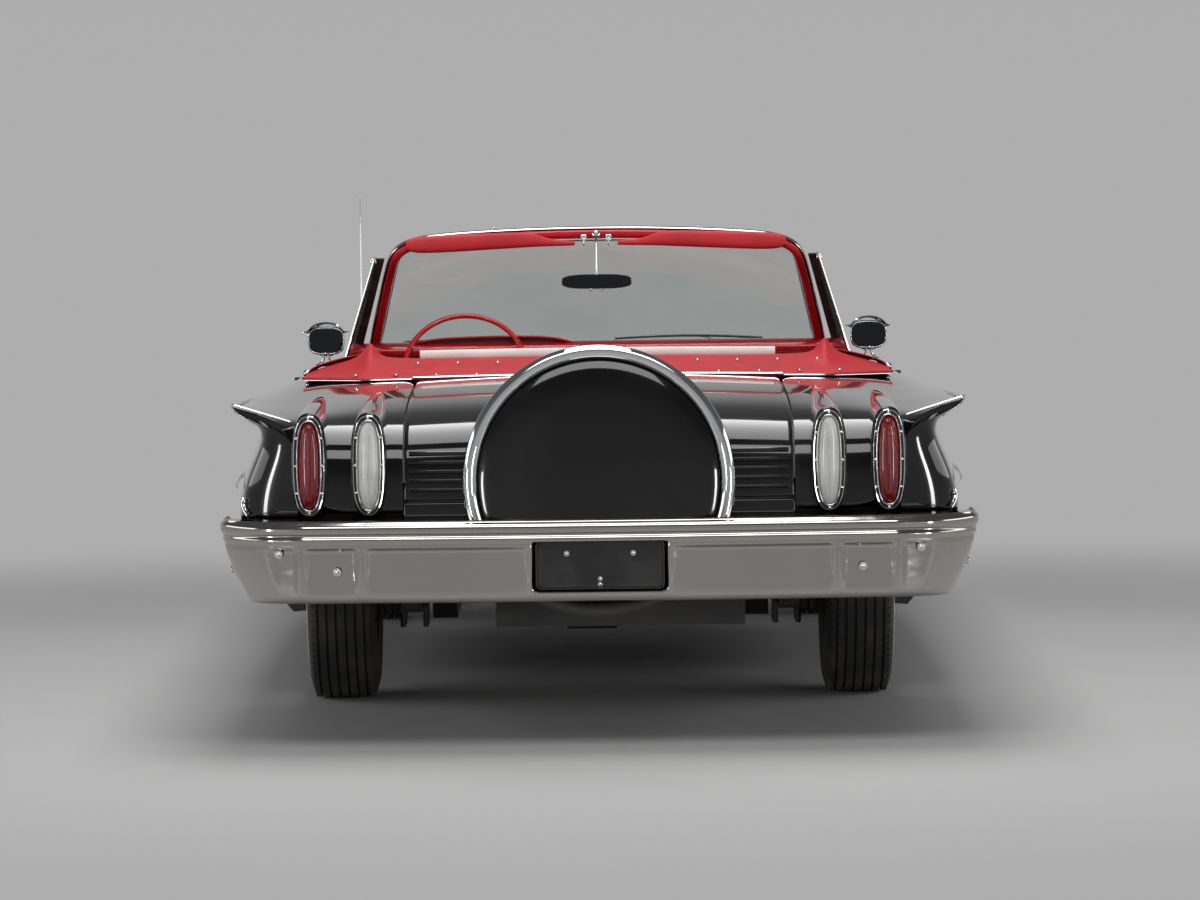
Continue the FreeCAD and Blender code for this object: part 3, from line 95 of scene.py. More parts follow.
class Nodes:
    """A tree of shader nodes, and the ways of adding to it."""

    def __init__(self, tree):
        self.tree = tree

    def feed(self, socket, value):
        if isinstance(value, Value):
            self.tree.links.new(value.socket, socket)
        elif socket.type == "RGBA" and len(value) == 3:
            socket.default_value = (*value, 1)
        else:
            socket.default_value = value

    def node(self, kind, settings=None, sockets=None, out=0):
        made = self.tree.nodes.new(kind)
        for name, value in (settings or {}).items():
            if name == "stops":
                ramp = made.color_ramp.elements
                while len(ramp) < len(value):
                    ramp.new(0.5)
                for stop, (place, colour) in zip(ramp, value):
                    stop.position, stop.color = place, (*colour, 1)
            else:
                setattr(made, name, value)
        for name, value in (sockets or {}).items():
            self.feed(made.inputs[name], value)
        return Value(self, made.outputs[out])

    def place(self, scale=(1, 1, 1)):
        where = self.node("ShaderNodeTexCoord", out="Object")
        return self.node("ShaderNodeMapping", None, {"Vector": where, "Scale": scale})

    def noise(self, scale, detail=3.0, where=None):
        sockets = {"Vector": where or self.place(), "Scale": scale, "Detail": detail}
        return self.node("ShaderNodeTexNoise", None, sockets, "Fac")

    def mix(self, factor, first, second):
        return self.node("ShaderNodeMix", {"data_type": "RGBA"}, {0: factor, 6: first, 7: second}, 2)

    def spread(self, value, low, high, new_low=0.0, new_high=1.0):
        sockets = {"Value": value, "From Min": low, "From Max": high, "To Min": new_low, "To Max": new_high}
        return self.node("ShaderNodeMapRange", {"interpolation_type": "SMOOTHSTEP"}, sockets)

    def bump(self, height, distance, strength=1.0):
        sockets = {"Height": height, "Distance": distance, "Strength": strength}
        return self.node("ShaderNodeBump", None, sockets)


class Look(Nodes):
    """One finish: a principled shader and the nodes that feed it."""

    def __init__(self, name, constants=None):
        self.material = bpy.data.materials.new(name)
        self.material.use_nodes = True
        super().__init__(self.material.node_tree)
        self.shader = self.tree.nodes["Principled BSDF"]
        for socket, value in (constants or {}).items():
            self.shader.inputs[socket].default_value = value

    def show(self, **sockets):
        names = {"colour": "Base Color", "roughness": "Roughness", "metallic": "Metallic", "normal": "Normal"}
        for name, value in sockets.items():
            self.feed(self.shader.inputs[names[name]], value)
        return self.material


def enamel(name, colour, fleck):
    """Polished enamel under clear lacquer, with faint orange peel and a film of dust."""
    lacquer = {"Coat Weight": 1.0, "Coat Roughness": 0.02, "Coat IOR": 1.4, "Specular IOR Level": 0.15}
    look = Look(name, lacquer)
    film = look.spread(look.noise(3.2, 5), 0.35, 0.75)
    peel = look.bump(look.noise(420, 2), 0.00004, 0.35)
    rough = 0.10 + film * 0.08
    return look.show(colour=look.mix(film, colour, fleck), roughness=rough, normal=peel)


def chrome(name, colour, low=0.03, high=0.14, wave=0.00025):
    """Plated steel: bright, with wiping marks and the slight waviness of a pressing."""
    look = Look(name)
    wipe = look.noise(16, 6, look.place((1, 1, 2.5)))
    smear = look.spread(wipe, 0.42, 0.78)
    cloud = look.noise(2.4, 2)
    ripple = look.bump(look.noise(7, 1), wave, 0.35)
    tone = look.mix(cloud, tuple(c * 0.93 for c in colour), colour)
    return look.show(colour=tone, metallic=1.0, roughness=low + smear * (high - low), normal=ripple)


def vinyl(name, colour, deep):
    """Coated upholstery cloth with a fine hide grain, shinier where it is rubbed."""
    look = Look(name, {"Specular IOR Level": 0.5})
    where = look.place()
    cells = {"Vector": where, "Scale": 520}
    grain = look.node("ShaderNodeTexVoronoi", {"feature": "DISTANCE_TO_EDGE"}, cells, "Distance")
    crease = look.spread(grain, 0.0, 0.22)
    pores = look.noise(1400, 2)
    wear = look.spread(look.noise(5, 4), 0.35, 0.7)
    tone = look.mix(wear, deep, colour)
    # Painted shade: the tone darkens along the grain's creases, where shade falls in the valleys.
    tone = look.mix((1 - crease) * 0.3, tone, tuple(c * 0.45 for c in deep))
    folds = look.noise(14, 3)
    height = crease * 0.6 + pores * 0.25 + folds * 3.0
    return look.show(colour=tone, roughness=0.52 - wear * 0.14, normal=look.bump(height, 0.0004, 0.55))


def plain_steel(name, dark, light, rough, metallic, scale=60):
    """Painted or bare metal of the underside, with patches of road dust."""
    look = Look(name)
    stain = look.spread(look.noise(9, 6), 0.35, 0.7)
    grit = look.noise(scale, 4)
    tone = look.mix(stain, dark, light)
    rough = rough + stain * 0.2
    return look.show(colour=tone, metallic=metallic, roughness=rough, normal=look.bump(grit, 0.0006, 0.4))


def clear_glass():
    look = Look("clear_glass", {"Transmission Weight": 1.0, "IOR": 1.45})
    haze = look.spread(look.noise(4, 4), 0.45, 0.8)
    tone = look.mix(haze, (0.80, 0.86, 0.84), (0.74, 0.80, 0.79))
    return look.show(colour=tone, roughness=0.01 + haze * 0.03)


def lens_glass(name, colour, deep, fluting):
    """Moulded lens, fluted up and down, with painted light: bright bands along the flutes stand in for the
    lamp's bowl seen through it.
    """
    look = Look(name, {"Coat Weight": 0.6, "Coat Roughness": 0.04, "Specular IOR Level": 0.25})
    flutes, cells = (
        look.node("ShaderNodeTexWave", {"bands_direction": way}, {"Vector": look.place(), "Scale": scale},
                  "Fac")
        for way, scale in (("X", fluting), ("Z", fluting * 0.6))
    )
    cloud = look.spread(look.noise(14, 3), 0.3, 0.75)
    # Painted light: the tone brightens along the flutes for the bowl's light through the lens; the cloud is
    # random tone.
    tone = look.mix(flutes * 0.5 + cloud * 0.5, deep, colour)
    rough = 0.16 + cloud * 0.1
    return look.show(colour=tone, roughness=rough, normal=look.bump(flutes + cells * 0.4, 0.0006, 0.5))


def rubber():
    look = Look("tread_rubber")
    dust = look.spread(look.noise(7, 6), 0.4, 0.75)
    tone = look.mix(dust, (0.016, 0.015, 0.014), (0.075, 0.066, 0.055))
    grit = look.noise(260, 4)
    return look.show(colour=tone, roughness=0.72 + dust * 0.2, normal=look.bump(grit, 0.0005, 0.5))


def white_band():
    look = Look("white_sidewall")
    grime = look.spread(look.noise(18, 5), 0.45, 0.8)
    tone = look.mix(grime, (0.74, 0.72, 0.67), (0.52, 0.49, 0.43))
    return look.show(colour=tone, roughness=0.55 + grime * 0.2,
                     normal=look.bump(look.noise(300, 2), 0.0002, 0.4))


def carpet(name, colour, deep, under):
    """Loop carpet on the top faces, and black underseal on those that face down."""
    look = Look(name, {"Sheen Weight": 0.25, "Sheen Roughness": 0.5})
    where = look.place()
    loops = look.node("ShaderNodeTexVoronoi", None, {"Vector": where, "Scale": 260}, "Distance")
    pile = look.spread(loops, 0.1, 0.6)
    patch = look.noise(6, 4)
    # Painted shade: the pile darkens between its loops; the patches are random tone.
    tone = look.mix(pile * 0.7 + patch * 0.3, colour, deep)
    faces = look.node("ShaderNodeNewGeometry", out="Normal")
    up = look.node("ShaderNodeSeparateXYZ", None, {"Vector": faces}, "Z")
    mask = up > -0.4
    tone = look.mix(mask, under, tone)
    return look.show(colour=tone, roughness=0.85 + patch * 0.1, normal=look.bump(pile, -0.0015, 0.7))


def silver_trim():
    look = Look("satin_silver")
    brushed = look.noise(90, 4, look.place((0.1, 1, 6)))
    tone = look.mix(brushed, (0.62, 0.62, 0.60), (0.78, 0.77, 0.75))
    return look.show(colour=tone, metallic=0.9, roughness=0.24 + brushed * 0.16)


BLACK = enamel("black_enamel", (0.003, 0.003, 0.0034), (0.008, 0.008, 0.009))
RED_ENAMEL = enamel("red_enamel", (0.52, 0.008, 0.016), (0.46, 0.01, 0.018))
RED_RIM = enamel("red_hard_rubber", (0.60, 0.008, 0.014), (0.52, 0.01, 0.016))
CHROME = chrome("bright_chrome", (0.70, 0.71, 0.72))
# Painted shade: the bumpers' plating is darker and browner than the other chrome, standing in for the dark
# floor their faces reflect.
SHADED_BUMPER_CHROME = chrome("shaded_bumper_chrome", (0.43, 0.405, 0.385), 0.08, 0.20, 0.0005)
VINYL = vinyl("red_vinyl", (0.62, 0.012, 0.022), (0.50, 0.008, 0.016))
PIPING = vinyl("red_piping", (0.66, 0.014, 0.024), (0.56, 0.01, 0.02))
FRAME_BLACK = plain_steel("satin_black", (0.012, 0.012, 0.012), (0.035, 0.032, 0.028), 0.45, 0.0)
DULL_STEEL = plain_steel("dull_steel", (0.20, 0.20, 0.20), (0.13, 0.11, 0.095), 0.38, 0.85)
CAST = plain_steel("cast_black", (0.03, 0.03, 0.03), (0.055, 0.05, 0.045), 0.6, 0.3, 160)
RECESS_BLACK = plain_steel("recess_black", (0.006, 0.006, 0.006), (0.018, 0.017, 0.016), 0.4, 0.0)
GLASS = clear_glass()
RED_LENS = lens_glass("red_lens", (0.21, 0.001, 0.004), (0.085, 0.001, 0.002), 90)
WHITE_LENS = lens_glass("white_lens", (0.66, 0.66, 0.62), (0.40, 0.40, 0.38), 90)
LAMP_LENS = lens_glass("headlamp_lens", (0.70, 0.73, 0.74), (0.45, 0.48, 0.50), 60)
RUBBER = rubber()
WHITE_WALL = white_band()
CARPET = carpet("red_carpet", (0.20, 0.006, 0.012), (0.11, 0.003, 0.007), (0.012, 0.012, 0.012))
SILVER = silver_trim()
# Painted highlight: the white of the roll on the boot's front crest stands in for the softbox's highlight
# there.
ROOF_EDGE_HIGHLIGHT = vinyl("roof_edge_painted_highlight", (0.78, 0.76, 0.72), (0.66, 0.64, 0.60))
# Painted reflection: the mirror glass is near-black, standing in for the dark surroundings that a silvered
# glass reflects.
PAINTED_DARK_MIRROR = chrome("mirror_glass_painted_reflection", (0.03, 0.033, 0.036), 0.02, 0.06, 0.0)


# ---------------------------------------------------------------- mesh tools
def loft(rows, closed=False, sharp=None, sharp_rows=None, cap=False):
    """Rows of points in millimetres, each extruded to the next. sharp gives columns their crease."""
    bm = bmesh.new()
    crease = bm.edges.layers.float.new("crease_edge")
    line = [bm.verts.new(Vector(p) * MM) for p in rows[0]]
    ring = line + line[:1] if closed else line
    edges = [bm.edges.new(pair) for pair in zip(ring, ring[1:])]
    lines = [line]
    for row in rows[1:]:
        made = bmesh.ops.extrude_edge_only(bm, edges=edges)["geom"]
        fresh = {g for g in made if isinstance(g, bmesh.types.BMVert)}
        line = [next(e.other_vert(v) for e in v.link_edges if e.other_vert(v) in fresh) for v in line]
        for vert, point in zip(line, row):
            vert.co = Vector(point) * MM
        edges = [g for g in made if isinstance(g, bmesh.types.BMEdge) and set(g.verts) <= fresh]
        lines.append(line)
    for column, value in (sharp or {}).items():
        for near, far in zip(lines, lines[1:]):
            bm.edges.get((near[column], far[column]))[crease] = value
    for row, value in (sharp_rows or {}).items():
        ring = lines[row] + (lines[row][:1] if closed else [])
        for pair in zip(ring, ring[1:]):
            bm.edges.get(pair)[crease] = value
    if cap:
        for line in (lines[0], lines[-1]):
            bmesh.ops.contextual_create(bm, geom=[bm.edges.get(p) for p in zip(line, line[1:] + line[:1])])
            for pair in zip(line, line[1:] + line[:1]):
                bm.edges.get(pair)[crease] = 1.0
    bmesh.ops.recalc_face_normals(bm, faces=bm.faces)
    return bm


def facing(bm, way):
    """An open sheet, turned so that its faces look towards way."""
    bm.normal_update()
    total = sum((f.normal * f.calc_area() for f in bm.faces), Vector())
    if total.dot(Vector(way)) < 0:
        bmesh.ops.reverse_faces(bm, faces=bm.faces)
    return bm


def eased(points, rounds=3):
    """The smooth line that a subdivided sheet's edge takes through the same points."""
    line = [Vector(p) for p in points]
    for _ in range(rounds):
        finer = [line[0]]
        for i in range(len(line) - 1):
            finer.append((line[i] + line[i + 1]) / 2)
            if i + 2 < len(line):
                finer.append((line[i] + line[i + 1] * 6 + line[i + 2]) / 8)
        finer.append(line[-1])
        line = finer
    return line


def sweep(path, profile, up=UP, closed=False, cap=True):
    """A section of (across, up) points carried along a path, upright to up."""
    path = [Vector(p) for p in path]
    ups = [Vector(u) for u in up] if hasattr(up[0], "__len__") else [Vector(up)] * len(path)
    rows = []
    for i, (point, lift) in enumerate(zip(path, ups)):
        before = path[i - 1] if i or closed else path[0]
        after = path[(i + 1) % len(path)] if i + 1 < len(path) or closed else path[-1]
        along = (after - before).normalized()
        across = along.cross(lift).normalized()
        stand = across.cross(along)
        rows.append([point + across * a + stand * b for a, b in profile])
    if closed:
        rows.append(rows[0])
    bm = loft(rows, closed=True, cap=cap and not closed)
    if closed:
        bmesh.ops.remove_doubles(bm, verts=bm.verts, dist=1e-6)
        bmesh.ops.recalc_face_normals(bm, faces=bm.faces)
    return bm


def circle(radius, steps=10, squash=1.0):
    turns = [2 * math.pi * i / steps for i in range(steps)]
    return [(radius * math.cos(t), radius * squash * math.sin(t)) for t in turns]


def half_round(wide, high):
    """The section of a half-round moulding that sits on a surface."""
    return [(-wide, -1), (wide, -1), (wide * 0.92, high * 0.45), (wide * 0.55, high * 0.88), (0, high),
            (-wide * 0.55, high * 0.88), (-wide * 0.92, high * 0.45)]


def squared_circle(steps, power):
    """The points of a unit circle, pushed out towards a square."""
    points = []
    for i in range(steps):
        t = 2 * math.pi * i / steps
        c, s = math.cos(t), math.sin(t)
        points.append((math.copysign(abs(c) ** power, c), math.copysign(abs(s) ** power, s)))
    return points


def oval(y, wide, high, centre, steps=28, power=2.7):
    """A closed row: an oval across the car, squarer with more power, at one place along it."""
    return [(centre[0] + wide * c, y, centre[1] + high * s) for c, s in squared_circle(steps, 2 / power)]


def stand(bm, centre, axis=UP, spin=0.0):
    """Moves a shape made about the Z axis to its own centre and axis."""
    turn = Vector(axis).to_track_quat("Z", "Y").to_matrix().to_4x4()
    bm.transform(Matrix.Translation(Vector(centre) * MM) @ turn @ Matrix.Rotation(spin, 4, "Z"))
    return bm


def turned(profile, centre, axis=UP, steps=48, closed=False):
    """(radius, along) points spun about an axis."""
    bm = bmesh.new()
    line = [bm.verts.new((r * MM, 0, a * MM)) for r, a in profile]
    ring = line + line[:1] if closed else line
    edges = [bm.edges.new(pair) for pair in zip(ring, ring[1:])]
    bmesh.ops.spin(
        bm, geom=line + edges, cent=(0, 0, 0), axis=UP, angle=2 * math.pi, steps=steps, use_merge=True
    )
    bmesh.ops.remove_doubles(bm, verts=bm.verts, dist=1e-6)
    bmesh.ops.recalc_face_normals(bm, faces=bm.faces)
    return stand(bm, centre, axis)


def block(low, high, round_by=0.0, segments=3):
    """A box between two corners, with rounded edges."""
    bm = bmesh.new()
    bmesh.ops.create_cube(bm, size=1.0)
    size = Vector(high) - Vector(low)
    middle = (Vector(high) + Vector(low)) / 2
    bmesh.ops.scale(bm, vec=size * MM, verts=bm.verts)
    bmesh.ops.translate(bm, vec=middle * MM, verts=bm.verts)
    if round_by:
        bmesh.ops.bevel(
            bm, geom=bm.edges, offset=round_by * MM, affect="EDGES", segments=segments, profile=0.5,
            material=-1
        )
    return bm


def joined(parts):
    """Several shapes as one, which uses them up."""
    whole = bmesh.new()
    for bm in parts:
        mesh = bpy.data.meshes.new("part")
        bm.to_mesh(mesh)
        bm.free()
        whole.from_mesh(mesh)
        bpy.data.meshes.remove(mesh)
    return whole


def closed_at(bm, y):
    """Fills the opening whose edge lies at one place along the car."""
    line = [v for v in bm.verts if abs(v.co.y - y * MM) < 1e-6]
    edges = [e for e in bm.edges if all(v in line for v in e.verts)]
    bmesh.ops.contextual_create(bm, geom=line + edges)
    return bm


def cut_off(bm, point, way, keep_front):
    """Trims a shape at a plane through point and keeps what lies on the side of way, or the rest."""
    bmesh.ops.bisect_plane(
        bm, geom=bm.verts[:] + bm.edges[:] + bm.faces[:], plane_co=[c * MM for c in point], plane_no=way,
        clear_inner=keep_front, clear_outer=not keep_front,
    )
    return bm


def shaped(bm, smooth=0, thick=0.0, cuts=(), round_by=0.0, sharp_angle=35):
    """The finished mesh of a shape: subdivided, given its thickness, cut and rounded."""
    mesh = bpy.data.meshes.new("shape")
    bm.to_mesh(mesh)
    bm.free()
    obj = bpy.data.objects.new("shape", mesh)
    bpy.context.scene.collection.objects.link(obj)
    tools = []
    if smooth:
        mod = obj.modifiers.new("smooth", "SUBSURF")
        mod.levels = mod.render_levels = smooth
        mod.boundary_smooth = "PRESERVE_CORNERS"
    if thick:
        mod = obj.modifiers.new("wall", "SOLIDIFY")
        mod.thickness = thick * MM
        mod.offset = -1
        mod.use_even_offset = False
    for cut in cuts:
        tool_mesh = bpy.data.meshes.new("tool")
        cut.to_mesh(tool_mesh)
        cut.free()
        tool = bpy.data.objects.new("tool", tool_mesh)
        bpy.context.scene.collection.objects.link(tool)
        tools.append(tool)
        mod = obj.modifiers.new("cut", "BOOLEAN")
        mod.operation, mod.object, mod.solver = "DIFFERENCE", tool, "EXACT"
    if round_by:
        mod = obj.modifiers.new("edges", "BEVEL")
        mod.width, mod.segments = round_by * MM, 2
        mod.limit_method, mod.angle_limit = "ANGLE", math.radians(50)
    graph = bpy.context.evaluated_depsgraph_get()
    made = bpy.data.meshes.new_from_object(obj.evaluated_get(graph))
    for spare in [obj, *tools]:
        old = spare.data
        bpy.data.objects.remove(spare)
        bpy.data.meshes.remove(old)
    made.shade_smooth()
    made.set_sharp_from_angle(angle=math.radians(sharp_angle))
    return made


def fit(name, mesh, look, body="body", replaces=()):
    """Puts a finished mesh into the model as a piece that rides on a body."""
    if isinstance(mesh, bmesh.types.BMesh):
        mesh = shaped(mesh)
    mesh.name = name
    obj = bpy.data.objects.new(name, mesh)
    bpy.context.scene.collection.objects.link(obj)
    mesh.materials.clear()
    mesh.materials.append(look)
    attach(obj, body)
    if replaces:
        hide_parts(*replaces)
    return obj


FIXED = ("body", "body")
DOORS = ("door_right", "door_left")


def fit_pair(name, mesh, look, bodies=FIXED, replaces=()):
    """A piece and its mirror image, named right and left."""
    if isinstance(mesh, bmesh.types.BMesh):
        mesh = shaped(mesh)
    left = mesh.copy()
    left.transform(Matrix.Scale(-1, 4, RIGHT))
    left.flip_normals()
    made = []
    for side, one, body in (("right", mesh, bodies[0]), ("left", left, bodies[1])):
        nodes = [f"{node}_{side}" for node in replaces]
        made.append(fit(f"{name}_{side}", one, look, body, nodes))
    return made


# ---------------------------------------------------------------- body sides
# Sections of the right side, from front to rear: y, then (x, z) of the shoulder, the side
# crease, the hollow under it, the widest part and the lower edge.
SIDE = [
    (NOSE, (780, 786), (930, 770), (925, 735), (938, 650), (930, 560)),
    (2640, (805, 808), (958, 790), (948, 748), (975, 650), (962, 500)),
    (2524, (830, 830), (985, 808), (970, 760), (1007, 650), (975, 420)),
    (2368, (838, 841), (991, 819), (976, 771), (1016, 650), (977, 360)),
    (1964, (860, 870), (1009, 848), (990, 800), (1032, 650), (985, 300)),
    (1464, (872, 898), (1012, 872), (991, 822), (1037, 650), (985, 290)),
    (1150, (880, 925), (1010, 887), (989, 838), (1037, 650), (985, 290)),
    (900, (880, 929), (1009, 889), (988, 840), (1037, 650), (985, 290)),
    (475, (880, 935), (1007, 893), (986, 844), (1037, 650), (985, 290)),
    (50, (880, 941), (1004, 896), (985, 848), (1037, 650), (985, 290)),
    (-200, (880, 945), (1003, 898), (984, 850), (1037, 650), (985, 290)),
    (-500, (876, 945), (1003, 901), (984, 850), (1037, 650), (985, 290)),
    (-834, (868, 944), (1004, 904), (984, 850), (1037, 650), (985, 290)),
    (-1144, (845, 937), (1004, 908), (979, 848), (1036, 650), (985, 300)),
    (-1450, (841, 921), (1005, 913), (970, 846), (1033, 650), (980, 318)),
    (-1784, (841, 909), (1005, 918), (957, 845), (1024, 650), (973, 340)),
    (-2050, (841, 898), (1004, 924), (941, 845), (1014, 648), (962, 365)),
    (-2284, (841, 889), (1000, 929), (923, 848), (1002, 645), (955, 390)),
    (-2440, (841, 884), (998, 932), (909, 850), (992, 641), (948, 420)),
]
# The corner behind the last section: y and (x, z) of each column from the shoulder down, while
# the three inner columns roll over the tail as ROLL says.
CORNER = [
    [(841, -2468, 883), (925, -2468, 906), (998, -2468, 933), (993, -2468, 914), (952, -2470, 890),
     (901, -2478, 850), (952, -2482, 745), (976, -2482, 642), (968, -2480, 520), (942, -2478, 420)],
    [(841, -2492, 882), (925, -2492, 905), (998, -2494, 933), (992, -2494, 913), (948, -2496, 888),
     (886, -2503, 848), (924, -2508, 742), (942, -2509, 643), (934, -2506, 520), (912, -2504, 420)],
    [(841, -2508, 882), (925, -2508, 905), (997, -2511, 933), (991, -2511, 913), (940, -2513, 886),
     (858, -2517, 845), (870, -2521, 742), (875, -2522, 644), (872, -2520, 520), (864, -2518, 420)],
    [(841, -2520, 881), (925, -2520, 905), (996, -2522, 933), (990, -2522, 913), (930, -2522, 884),
     (820, -2521, 842), (822, -2524, 740), (822, -2525, 644), (822, -2524, 520), (820, -2523, 420)],
]
ROLL = [(-2400, 874), (-2462, 842), (-2497, 800), (-2513, 730), (-2520, 640)]
COCKPIT_X = 850
SEAMS = {
    "hood": [(NOSE, 620, 792), (2640, 640, 815), (2524, 660, 842), (2368, 667, 857), (1964, 690, 895),
             (1464, 700, 930), (1150, 705, 947), (900, 708, 956), (475, 712, 965)],
    "lid": [(475, 850, 950), (50, 850, 950), (-200, 850, 951), (-500, 850, 951), (-834, 846, 952),
            (-1144, 560, 950), (-1450, 535, 945), (-1784, 535, 938), (-2050, 535, 923), (-2284, 535, 901)],
}


def seam_at(kind, y, shoulder=None):
    """Where a side's inner edge runs, across and in height, at one place along the car."""
    if kind == "door":
        return COCKPIT_X, shoulder[1] + 3
    rows = SEAMS[kind]
    for (y0, x0, z0), (y1, x1, z1) in zip(rows, rows[1:]):
        if y1 <= y <= y0:
            t = (y - y1) / (y0 - y1)
            return x1 + (x0 - x1) * t, z1 + (z0 - z1) * t
    return rows[0][1:] if y > rows[0][0] else rows[-1][1:]


def side_row(section, kind):
    """One section's thirteen points, from the seam out over the crease and down to the edge."""
    y, shoulder, crease, hollow, bulge, low = section
    seam = seam_at(kind, y, shoulder)
    tail_end = min(1.0, max(0.0, (-200 - y) / 2200))
    inner = []
    for t in (0.0, 0.4, 0.8):
        swell = 5 * math.sin(math.pi * t)
        inner.append((seam[0] + (shoulder[0] - seam[0]) * t, seam[1] + (shoulder[1] - seam[1]) * t + swell))
    wing = ((shoulder[0] + crease[0]) / 2, (shoulder[1] + crease[1]) / 2 + 9 - 13 * tail_end)
    lip = (crease[0] - 2 - 3 * tail_end, crease[1] - 12 - 7 * tail_end)
    under = ((lip[0] + hollow[0]) / 2, (lip[1] + hollow[1]) / 2 - 3 + 20 * tail_end)
    above = (hollow[0] + (bulge[0] - hollow[0]) * (0.72 - 0.08 * tail_end),
             hollow[1] + (bulge[1] - hollow[1]) * 0.48)
    lower = (bulge[0] + (low[0] - bulge[0]) * 0.35, bulge[1] + (low[1] - bulge[1]) * 0.55)
    points = inner + [shoulder, wing, crease, lip, under, hollow, above, bulge, lower, low]
    return [(x, y, z) for x, z in points]


def side_rows(kind, front, rear):
    return [side_row(s, kind) for s in SIDE if rear <= s[0] <= front]


def tail_rows():
    """The rows that carry the deck down over the tail and the side round the corner."""
    return [[(x, y, z) for x in (535, 650, 800)] + outer for (y, z), outer in zip(ROLL[1:], CORNER)]


CREASE, LIP = 5, 6
SHARP = {CREASE: 0.75, LIP: 0.45}


def fine(rows, sharp, way, smooth=3):
    """A subdivided sheet as a bmesh, ready to be trimmed."""
    mesh = shaped(facing(loft(rows, sharp=sharp), way), smooth=smooth)
    bm = bmesh.new()
    bm.from_mesh(mesh)
    bpy.data.meshes.remove(mesh)
    return bm


def wheel_hole(y, radius):
    """The drum that cuts a wheel's opening."""
    return turned([(0, -160), (radius, -160), (radius, 160), (0, 160)], (980, y, HUB_Z), RIGHT, 96)


OUTWARDS = (1, 0, 0.3)


def front_fenders():
    bm = fine(side_rows("hood", NOSE, 475), SHARP, OUTWARDS)
    cut_off(bm, (0, DOOR_FRONT + 5, 0), AHEAD, True)
    mesh = shaped(bm, thick=14, cuts=[wheel_hole(FRONT_AXLE, 420)], round_by=1.5)
    fit_pair("front_fender_skin", mesh, BLACK, replaces=["front_fender"])


def doors():
    bm = fine(side_rows("door", 1964, -834), SHARP, OUTWARDS)
    cut_off(bm, (0, DOOR_FRONT - 5, 0), AHEAD, False)
    cut_off(bm, (0, DOOR_REAR + 5, 0), AHEAD, True)
    fit_pair("door_skin", shaped(bm, thick=14, round_by=1.5), BLACK, DOORS, ["door"])


def rear_quarters():
    rows = side_rows("lid", 475, -2300)
    last = side_row(SIDE[-1], "lid")
    last[:3] = [(535, *ROLL[0]), (650, *ROLL[0]), (800, ROLL[0][0], ROLL[0][1] + 4)]
    rows += [last] + tail_rows()
    bm = fine(rows, SHARP, OUTWARDS)
    cut_off(bm, (0, DOOR_REAR - 5, 0), AHEAD, False)
    under_bumper = block((500, -2700, 300), (1100, -2450, 630))
    lamp_side = block((480, -2700, 300), (834, -2450, 600))
    mesh = shaped(bm, thick=14, cuts=[wheel_hole(REAR_AXLE, 400), under_bumper, lamp_side], round_by=1.5)
    fit_pair("rear_quarter_skin", mesh, BLACK, replaces=["rear_quarter"])


# ---------------------------------------------------------------- hood and trunk lid
HOOD_CROWN = [(NOSE, 800), (2640, 832), (2524, 862), (1964, 926), (1464, 964), (HOOD_REAR, 972)]
LID_PROFILE = [
    (LID_FRONT, 951), (-1330, 950), (-1784, 939), (-2050, 924), (-2250, 905), (-2400, 873), (-2462, 841),
    (-2497, 799), (-2510, 740), (-2518, 668),
]
LID_HALF = 530


def across_fan(half, steps):
    """Evenly spaced places across the car, from the left to the right."""
    return [half * i / steps for i in range(-steps, steps + 1)]


def hood():
    rows = []
    for y, top in [(2742, 772), (2744, 788)] + HOOD_CROWN:
        x_edge, z_edge = seam_at("hood", min(y, NOSE))
        if y > NOSE:
            z_edge = top - 10
        row = []
        for x in across_fan(x_edge - 5, 6):
            f = abs(x) / (x_edge - 5)
            swell = 7 * math.exp(-((abs(x) - 20) / 40) ** 2) * min(1, max(0, (NOSE - y) / 400))
            row.append((x, y, z_edge + (top - z_edge) * (1 - f ** 2.4) + swell))
        rows.append(row)
    mesh = shaped(facing(loft(rows, sharp={0: 1, 12: 1}), UP), smooth=2, thick=16, round_by=2)
    fit("hood_skin", mesh, BLACK, "hood", ["hood"])
    lip = [(x, 2741 - 4 * (x / 600) ** 2, 776) for x in across_fan(600, 8)]
    bead = [(-9, -9), (9, -9), (10, 2), (5, 9), (-5, 9), (-10, 2)]
    fit("hood_lip_moulding", shaped(sweep(eased(lip, 1), bead), smooth=1), CHROME, "hood")
    spine = [(0, y, z + 4) for y, z in HOOD_CROWN[:5]]
    fit("hood_spear", shaped(sweep(eased(spine, 2), half_round(9, 9)), smooth=1), CHROME, "hood")


def trunk_lid():
    rows = []
    for i, (y, z) in enumerate(LID_PROFILE):
        crown = 12 if i < 6 else 12 - 3 * (i - 5)
        rows.append([(x, y, z + crown * (1 - (x / LID_HALF) ** 2)) for x in across_fan(LID_HALF, 5)])
    mesh = shaped(facing(loft(rows, sharp={0: 1, 10: 1}), (0, -0.2, 1)), smooth=3, thick=16, round_by=2)
    fit("trunk_lid_skin", mesh, BLACK, "trunk_lid", ["trunk_lid"])


